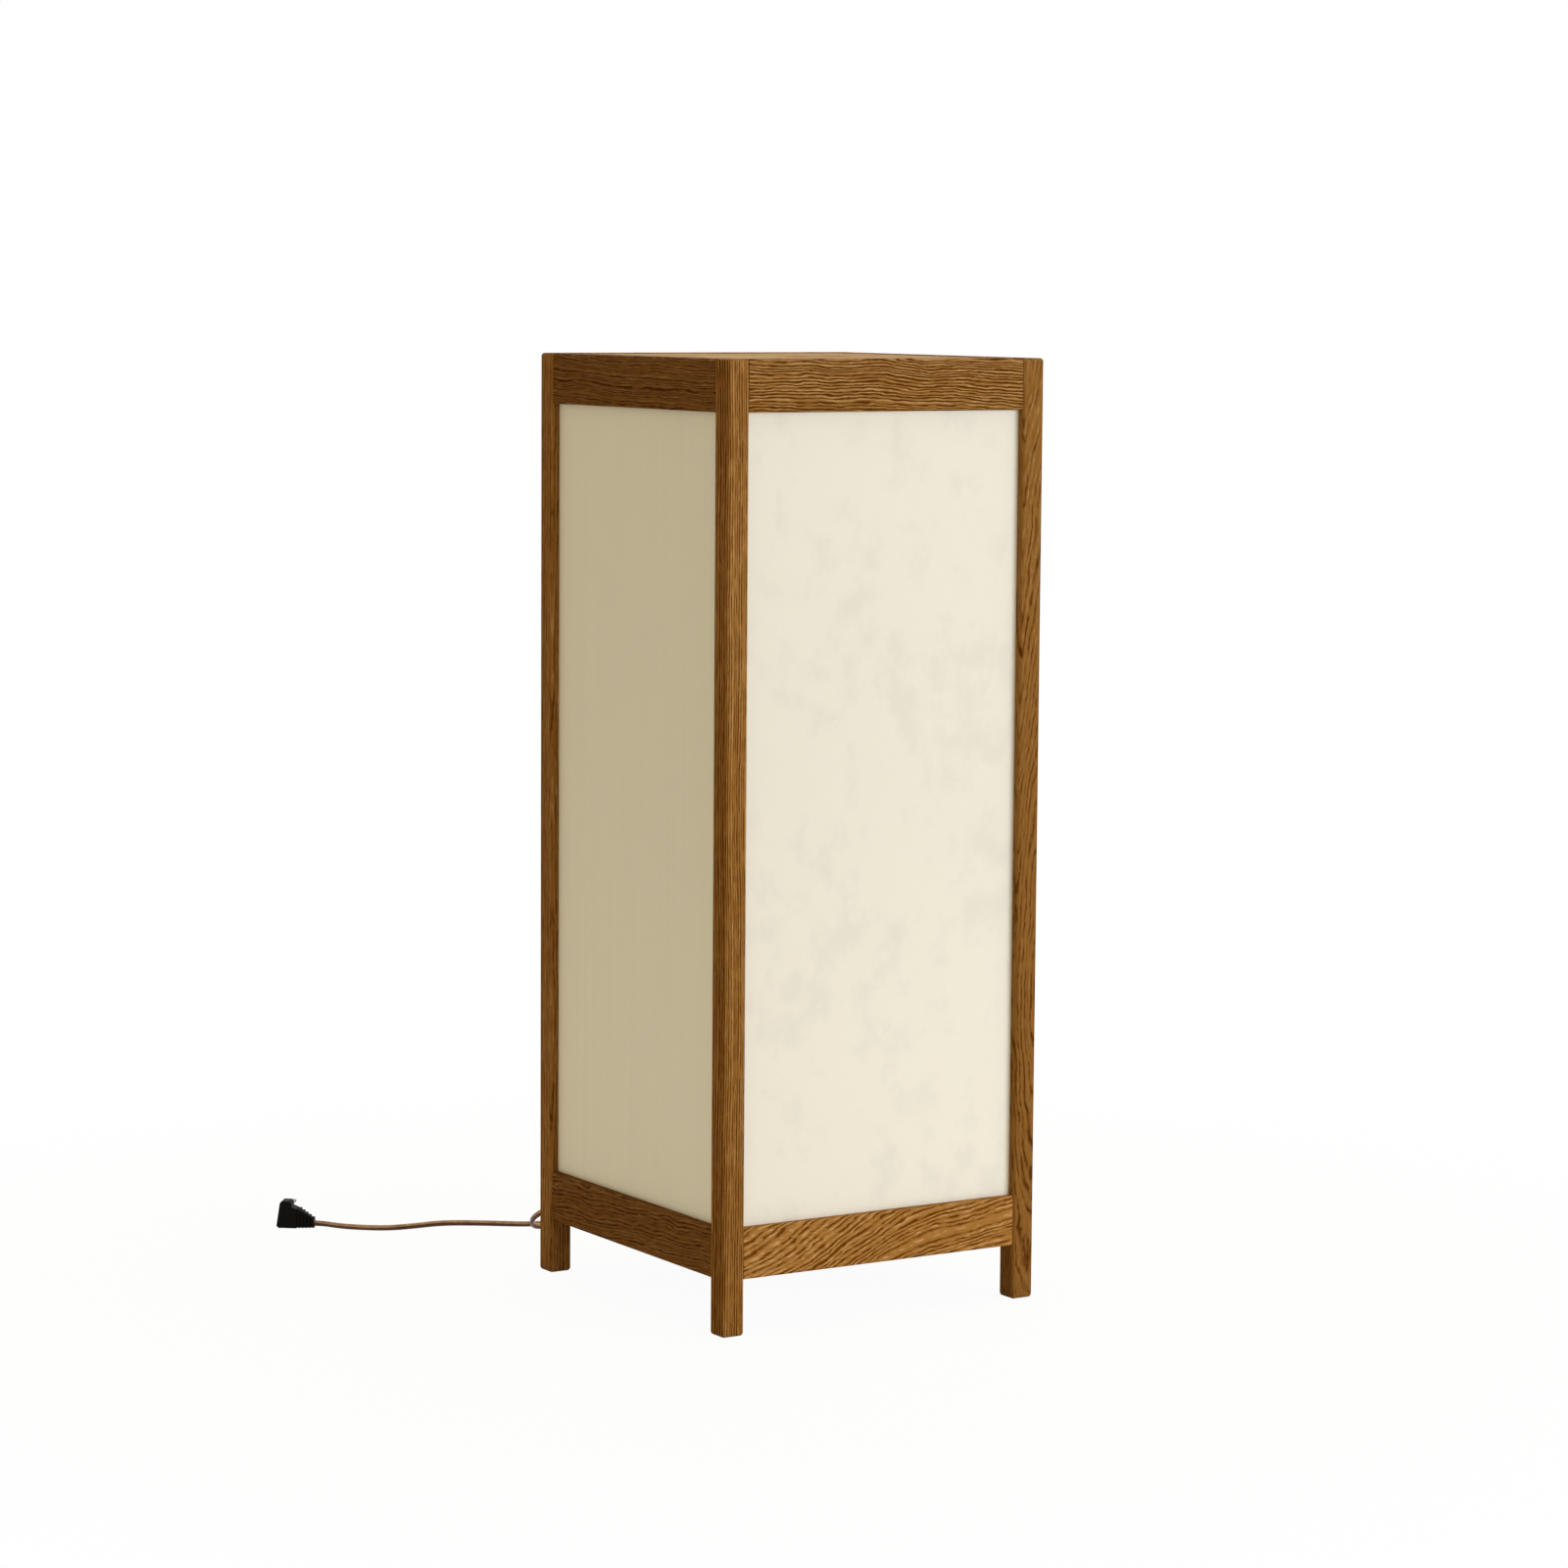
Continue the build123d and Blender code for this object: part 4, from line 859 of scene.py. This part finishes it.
# ---- Lead ----
@dataclass
class Lead:
    """The free lead: from the bush to the floor, through the switch, round the coil and to the plug."""

    diameter: float = 0.0042
    length: float = 1.81
    core_radius: float = 0.00125
    core_offset: float = 0.00085
    section_points: int = 24
    run_points: int = 8
    twists: tuple[Span, ...] = ((16.0, 0.9), (7.0, 2.3))
    bush_tip: Point = (0.0, 0.145, 0.06215)
    coil_middle: Span = (0.0975, 0.194)
    coil_levels: tuple[Span, ...] = (
        (0.0273, 0.0030), (0.0230, 0.0030), (0.0187, 0.0030), (0.0187, 0.0073),
        (0.0230, 0.0073), (0.0273, 0.0073), (0.0205, 0.0116), (0.0248, 0.0116),
    )
    turn_points: int = 18
    shift_window: float = 0.22
    lift_pace: float = 2.2
    crossing_rise: float = 0.0035
    # The lead's colours: a painted lit upper core, a painted shaded lower core and painted shade in the
    # groove.
    finish: LeadFinish = LeadFinish(
        "lead_clear_brown_vinyl", (0.50, 0.31, 0.17), (0.115, 0.044, 0.017), (0.050, 0.020, 0.009)
    )
    fittings: tuple[str, ...] = (
        "cord_bush", "coil_tie", "switch_lower_shell", "switch_upper_shell",
        "switch_rocker", "switch_pin", "switch_contacts", "switch_screws",
        "plug_body", "plug_relief", "plug_blades",
    )
    points: list[Point] = field(default_factory=list)

    @property
    def floor(self) -> float:
        """The height of the lead's middle where it lies on the floor."""
        return self.diameter / 2.0

    def route_to_switch(self) -> list[Point]:
        """From the tip of the bush down to the floor, round behind the left foot and into the switch."""
        return [
            self.bush_tip, (0.0, 0.157, 0.06215), (-0.007, 0.175, 0.055),
            (-0.026, 0.191, 0.043), (-0.050, 0.205, 0.0315), (-0.0705, 0.2185, 0.0205),
            (-0.074, 0.2335, 0.0105), (-0.066, 0.2415, 0.0028), (-0.048, 0.246, self.floor),
            (-0.031, 0.2455, 0.0024), (-0.017, 0.243, 0.0085), (-0.007, 0.243, 0.0085),
        ]

    def route_in_switch(self) -> list[Point]:
        """Through the switch, under its rocker."""
        return [(0.008, 0.243, 0.0068), (0.018, 0.243, 0.0064), (0.028, 0.243, 0.0068)]

    def route_to_coil(self) -> list[Point]:
        """From the switch to the foot of the coil."""
        return [
            (0.043, 0.243, 0.0085), (0.057, 0.243, 0.0085), (0.0685, 0.235, 0.007),
            (0.0715, 0.221, 0.005), (0.0702, 0.206, 0.0030),
        ]

    def route_round_coil(self) -> list[Point]:
        """The coil's turns: in along the floor, out and up over them, and off at its right side.

        Returns:
            The turns' points.
        """
        last = len(self.coil_levels) - 1
        turns = last + 0.5
        count = int(turns * self.turn_points)
        points = []
        for step in range(count + 1):
            along = turns * step / count
            level = min(int(along), last)
            share = along - level
            shift = min(1.0, max(0.0, (share - 1.0 + self.shift_window) / self.shift_window))
            eased = shift * shift * (3.0 - 2.0 * shift)
            lifted = min(1.0, self.lift_pace * eased)
            radius, height = self.coil_levels[level]
            next_radius, next_height = self.coil_levels[min(level + 1, last)]
            radius += (next_radius - radius) * eased
            height += (next_height - height) * lifted
            if level == last - 1:
                height += self.crossing_rise * math.sin(math.pi * shift)
            if level == last:
                radius += (self.coil_levels[0][0] - radius) * (2.0 * share) ** 2
            angle = math.pi + 2.0 * math.pi * along
            middle_x, middle_y = self.coil_middle
            points.append((middle_x + radius * math.cos(angle), middle_y + radius * math.sin(angle), height))
        return points

    def route_to_plug(self) -> list[Point]:
        """From the coil behind the lamp, past its left foot and out to the plug."""
        return [
            (0.125, 0.208, 0.0112), (0.121, 0.229, 0.008), (0.108, 0.248, 0.0042),
            (0.086, 0.260, self.floor), (0.060, 0.2665, self.floor), (0.033, 0.266, self.floor),
            (0.009, 0.2625, self.floor), (-0.011, 0.2575, self.floor), (-0.030, 0.2535, self.floor),
            (-0.048, 0.2515, self.floor), (-0.065, 0.2575, self.floor), (-0.0795, 0.2685, self.floor),
            (-0.097, 0.2815, self.floor), (-0.117, 0.2928, self.floor), (-0.139, 0.293, self.floor),
            (-0.158, 0.2955, self.floor), (-0.172, 0.3045, self.floor), (-0.1875, 0.3185, 0.0024),
            (-0.19559, 0.32888, 0.0034), (-0.2015, 0.3335, 0.0034),
        ]

    def make_spline(self) -> bpy.types.Object:
        """Makes a NURBS curve with the route's points as its control points.

        Returns:
            The curve's object, which the cores twist round a little.
        """
        data = bpy.data.curves.new("lead_line", "CURVE")
        data.dimensions = "3D"
        data.resolution_u = self.run_points
        data.twist_mode = "Z_UP"
        spline = data.splines.new("NURBS")
        spline.points.add(len(self.points) - 1)
        for index, (point, place) in enumerate(zip(spline.points, self.points)):
            point.co = (*place, 1.0)
            point.tilt = sum(math.radians(swing) * math.sin(index * pace) for swing, pace in self.twists)
        spline.order_u = 3
        spline.use_endpoint_u = True
        line = bpy.data.objects.new("lead_line", data)
        bpy.context.scene.collection.objects.link(line)
        return line

    def make_section(self) -> bpy.types.Object:
        """Makes the closed outline of two cores, one above the other, from its topmost point round.

        Returns:
            The outline's object.
        """
        data = bpy.data.curves.new("lead_section", "CURVE")
        data.dimensions = "2D"
        spline = data.splines.new("POLY")
        spline.points.add(self.section_points - 1)
        for index, point in enumerate(spline.points):
            angle = 2.0 * math.pi * index / self.section_points
            across = self.core_offset * math.sin(angle)
            reach = self.core_offset * abs(math.cos(angle)) + math.sqrt(self.core_radius**2 - across**2)
            point.co = (reach * math.sin(angle), reach * math.cos(angle), 0.0, 1.0)
        spline.use_cyclic_u = True
        section = bpy.data.objects.new("lead_section", data)
        bpy.context.scene.collection.objects.link(section)
        return section

    def read_mesh(self, line: bpy.types.Object) -> bpy.types.Mesh:
        """Makes a mesh of the curve as it now is.

        Args:
            line: the curve's object.

        Returns:
            The mesh: a line of points, or a tube once the curve has a bevel.
        """
        graph = bpy.context.evaluated_depsgraph_get()
        graph.update()
        return bpy.data.meshes.new_from_object(line.evaluated_get(graph))

    def read_path(self, line: bpy.types.Object) -> list[Point]:
        """Reads the points that the curve passes through, in order.

        Args:
            line: the curve's object, with no bevel.

        Returns:
            The points.
        """
        mesh = self.read_mesh(line)
        path = [tuple(vertex.co) for vertex in mesh.vertices]
        bpy.data.meshes.remove(mesh)
        return path

    def build(self) -> bpy.types.Object:
        """Returns:
            The tube.
        """
        self.points = self.route_to_switch() + self.route_in_switch() + self.route_to_coil()
        self.points += self.route_round_coil() + self.route_to_plug()
        line = self.make_spline()
        path = self.read_path(line)
        section = self.make_section()
        line.data.bevel_mode = "OBJECT"
        line.data.bevel_object = section
        line.data.use_fill_caps = True
        mesh = self.read_mesh(line)
        mesh.name = "lead_twin_tube"
        for used in (line, section):
            bpy.data.objects.remove(used)
        for polygon in mesh.polygons:
            polygon.use_smooth = True
        mesh.materials.clear()
        mesh.materials.append(self.finish.make())
        tube = bpy.data.objects.new("lead_twin_tube", mesh)
        bpy.context.scene.collection.objects.link(tube)
        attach(tube, "frame")
        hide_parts("cord_lamp_side", "cord_coil_side", "cord_coil", "cord_plug_side")
        return tube


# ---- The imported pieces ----
class Subassembly:
    """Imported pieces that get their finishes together."""

    def finishes(self) -> dict[str, Finish]:
        """The finish of each piece, by its name."""
        raise NotImplementedError

    def dress(self) -> list[str]:
        """Gives every slot of each piece its finish, making each finish once.

        Returns:
            The pieces' names.
        """
        finishes = self.finishes()
        made = {finish: finish.make() for finish in dict.fromkeys(finishes.values())}
        for name, finish in finishes.items():
            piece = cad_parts[name]
            if not piece.material_slots:
                piece.data.materials.append(made[finish])
            for slot in piece.material_slots:
                slot.material = made[finish]
        return list(finishes)


@dataclass
class LeadFittings(Subassembly):
    """The clip, bush, tie, switch and plug on the lead, and the lead inside the lamp."""

    vinyl: MouldedFinish = MouldedFinish("fittings_black_vinyl", (0.0046, 0.0042, 0.0028), 0.60, gloss=0.06)
    blades: MouldedFinish = MouldedFinish(
        "blades_aged_brass", (0.24, 0.18, 0.10), 0.45, 1.0, fine_scale=900.0
    )
    nylon: MouldedFinish = MouldedFinish("fittings_black_nylon", (0.020, 0.019, 0.018), 0.5, gloss=0.35)
    shell: MouldedFinish = MouldedFinish("switch_brown_shell", (0.070, 0.034, 0.018), 0.32)
    rocker: MouldedFinish = MouldedFinish("switch_black_rocker", (0.015, 0.014, 0.013), 0.28)
    steel: MouldedFinish = MouldedFinish("fittings_zinc_steel", (0.58, 0.57, 0.54), 0.34, 1.0)
    brass: MouldedFinish = MouldedFinish("fittings_brass", (0.68, 0.46, 0.17), 0.3, 1.0)
    inner: MouldedFinish = MouldedFinish("inner_lead_vinyl", (0.16, 0.09, 0.06), 0.35)

    def finishes(self) -> dict[str, Finish]:
        """The finish of each fitting, by its name."""
        pieces = {
            self.vinyl: ("plug_body", "plug_relief"),
            self.blades: ("plug_blades",),
            self.nylon: ("cord_bush", "cord_clip", "coil_tie"),
            self.shell: ("switch_lower_shell", "switch_upper_shell"),
            self.rocker: ("switch_rocker",),
            self.steel: ("switch_pin", "switch_screws", "cord_clip_screws"),
            self.brass: ("switch_contacts",),
            self.inner: ("inner_lead",),
        }
        return {name: finish for finish, names in pieces.items() for name in names}


@dataclass(frozen=True)
class Board:
    """How one post or rail was cut: where its pith lay and what its timber is like."""

    name: str
    pith: Point
    lean: Span
    ring_width: float
    wave: float
    ripple: float
    gain: float = 1.0
    coats: float = 0.0
    figure: float = 1.0
    patina: float = 0.0

    def stained(self, stain: Stain) -> WoodFinish:
        """Works out the board's finish, with rubbing and a painted highlight along its own top edge.

        Args:
            stain: the frame's stain.

        Returns:
            The finish.
        """
        kind, _, side = self.name.rpartition("_")
        return WoodFinish(
            f"{self.name}_oak",
            GrainRun.UPRIGHT if kind.startswith("post") else GrainRun.along(side),
            self.pith,
            stain.laid(self.gain, self.coats),
            self.lean,
            self.ring_width,
            self.wave,
            self.ripple,
            self.figure,
            wear_top=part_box(self.name)[1].z,
            patina=self.patina,
        )


@dataclass
class OakFrame(Subassembly):
    """Four posts and eight rails of stained oak, each with its own piece of timber."""

    stain: Stain = OAK_STAIN
    boards: tuple[Board, ...] = (
        # The front left post carries painted shade on its left face.
        Board("post_front_left", (-0.040, -0.165, 0.0), (0.4, -0.3), 0.0016, 0.005, 0.0013,
              gain=1.07, figure=1.05, patina=1.0),
        Board("post_front_right", (0.131, -0.112, 0.36), (-6.0, 1.0), 0.0023, 0.016, 0.0060,
              gain=0.92, coats=0.06, figure=0.5),
        Board("post_rear_left", (-0.160, 0.080, 0.2), (0.6, 0.5), 0.0018, 0.008, 0.0024,
              coats=0.30, figure=0.8),
        Board("post_rear_right", (0.165, 0.150, 0.3), (-0.6, 0.8), 0.0024, 0.012, 0.0050, figure=0.8),
        Board("upper_rail_front", (0.0, -0.062, 0.550), (0.0, 2.0), 0.0017, 0.011, 0.0060,
              gain=0.94, figure=2.05),
        Board("lower_rail_front", (-0.060, -0.080, 0.092), (-9.0, -8.0), 0.0022, 0.034, 0.0058,
              gain=1.24, coats=-0.28),
        Board("upper_rail_rear", (0.0, 0.050, 0.740), (1.0, 1.6), 0.0021, 0.016, 0.0080, figure=0.9),
        Board("lower_rail_rear", (0.0, 0.070, -0.010), (-1.0, 2.4), 0.0025, 0.020, 0.0090,
              gain=1.05, figure=0.9),
        # The left rails' lower gain and extra layers of stain are painted shade for the lamp's shaded left
        # side.
        Board("upper_rail_left", (-0.060, 0.0, 0.740), (1.4, 0.8), 0.0017, 0.010, 0.0060,
              gain=0.92, coats=1.6, figure=0.8),
        Board("lower_rail_left", (-0.060, 0.030, 0.140), (-2.2, 1.0), 0.0019, 0.014, 0.0080,
              gain=0.92, coats=1.5, figure=0.8),
        Board("upper_rail_right", (0.060, 0.0, 0.560), (1.2, -0.8), 0.0021, 0.012, 0.0060,
              gain=0.98, figure=0.9),
        Board("lower_rail_right", (0.060, 0.020, -0.010), (2.6, 1.0), 0.0023, 0.016, 0.0080, figure=0.9),
    )

    def finishes(self) -> dict[str, Finish]:
        """The finish of each post and rail, by its name."""
        return {board.name: board.stained(self.stain) for board in self.boards}


@dataclass
class PaperPanels(Subassembly):
    """Four sheets of laminated paper, the ones at the left and right plainer and darkened by painted shade.
    """

    cloudy: PaperFinish = PaperFinish("paper_panel_sheet", (0.838, 0.803, 0.690), (0.790, 0.757, 0.660))
    plain: PaperFinish = replace(
        cloudy,
        # The left and right sheets are darker as painted shade.
        colour=(0.800, 0.764, 0.637),
        cloudiness=0.5,
        laid_scale=(170.0, 170.0, 4.0),
        laid_swing=0.05,
        foot_gain=1.04,
    )
    next_sheet: Point = (0.37, 0.53, 0.71)

    def finishes(self) -> dict[str, Finish]:
        """Works out the finish of each panel, which is a stretch of the paper of its own.

        Returns:
            The finishes, by the panels' names.
        """
        papers = {}
        for index, side in enumerate(SIDES):
            paper = self.cloudy if side in ("front", "rear") else self.plain
            shift = tuple(index * step for step in self.next_sheet)
            papers[f"paper_panel_{side}"] = replace(paper, name=f"paper_panel_{side}_sheet", shift=shift)
        return papers


@dataclass
class TopAndBar(Subassembly):
    """The lift-out board, the strips under it, the bar across the underside and their fastenings."""

    board: WoodFinish = WoodFinish(
        "top_board_veneer",
        GrainRun.CROSSWAYS,
        (0.0, -0.02, 0.45),
        VENEER_STAIN,
        (1.5, 3.0),
        ring_width=0.0042,
        wave=0.030,
        ripple=0.010,
        figure=0.8,
        wear=0.1,
    )
    strip: WoodFinish = WoodFinish(
        "lid_cleat_softwood",
        GrainRun.CROSSWAYS,
        (0.02, 0.03, 0.55),
        PINE_STAIN,
        (1.0, 1.0),
        ring_width=0.0035,
        wave=0.012,
        figure=0.6,
        wear=0.0,
    )
    bar: WoodFinish = WoodFinish(
        "base_bar_softwood",
        GrainRun.LENGTHWAYS,
        (0.03, 0.02, 0.12),
        PINE_STAIN,
        (2.0, 1.0),
        ring_width=0.0038,
        wave=0.016,
        ripple=0.005,
        figure=0.6,
        wear_top=BAR_TOP,
        wear=0.1,
    )
    screws: MouldedFinish = MouldedFinish("wood_screws_zinc_steel", (0.60, 0.58, 0.53), 0.34, 1.0)
    brads: MouldedFinish = MouldedFinish("brads_steel_wire", (0.45, 0.44, 0.42), 0.4, 1.0)

    def finishes(self) -> dict[str, Finish]:
        """Works out the finish of each piece.

        Returns:
            The finishes, by the pieces' names.
        """
        chosen = {"top_board": self.board, "base_bar": self.bar, "lid_cleat_brads": self.brads}
        for side in SIDES:
            name = f"lid_cleat_{side}"
            chosen[name] = replace(self.strip, name=f"{name}_softwood", run=GrainRun.along(side))
        for name in ("bar_cleat_front", "bar_cleat_rear"):
            chosen[name] = replace(self.bar, name=f"{name}_softwood", run=GrainRun.CROSSWAYS)
        for name in ("bar_screws", "cleat_screws", "lampholder_screws"):
            chosen[name] = self.screws
        return chosen


@dataclass
class Lampholder(Subassembly):
    """The holder on the bar and the bulb in it: a field for each piece, with the piece's name."""

    lampholder_base: MouldedFinish = MouldedFinish("holder_base_white_phenolic", (0.80, 0.79, 0.75), 0.30)
    lampholder_shell: MouldedFinish = MouldedFinish("holder_shell_white_phenolic", (0.82, 0.81, 0.77), 0.26)
    lampholder_sleeve: MouldedFinish = MouldedFinish("holder_sleeve_brass", (0.70, 0.52, 0.22), 0.3, 1.0)
    lampholder_contact: MouldedFinish = MouldedFinish("holder_contact_brass", (0.72, 0.55, 0.25), 0.26, 1.0)
    bulb_globe: MouldedFinish = MouldedFinish(
        "bulb_globe_opal", (0.90, 0.895, 0.87), 0.32, contrast=0.02, gloss=0.4
    )
    bulb_housing: MouldedFinish = MouldedFinish("bulb_housing_white", (0.80, 0.80, 0.78), 0.36, contrast=0.05)
    bulb_cap: MouldedFinish = MouldedFinish("bulb_cap_nickel_aluminium", (0.74, 0.73, 0.71), 0.24, 1.0)
    bulb_insulator: MouldedFinish = MouldedFinish("bulb_insulator_black", (0.02, 0.02, 0.022), 0.25)
    bulb_contact: MouldedFinish = MouldedFinish("bulb_contact_tin", (0.66, 0.65, 0.62), 0.35, 1.0)

    def finishes(self) -> dict[str, Finish]:
        """The finish of each piece, by its name."""
        return {piece.name: getattr(self, piece.name) for piece in fields(self)}


def main() -> None:
    """Builds the studio and the lamp's looks in order, and reports each piece."""
    logging.basicConfig(level=logging.INFO, format="%(name)s: %(message)s")
    Studio().build()
    LOG.info("studio: set up")
    LOG.info("lead: %s laid", Lead().build().name)
    for part in (LeadFittings(), OakFrame(), PaperPanels(), TopAndBar(), Lampholder()):
        for piece in part.dress():
            LOG.info("%s: %s dressed", type(part).__name__, piece)


if __name__ == "__main__":
    main()
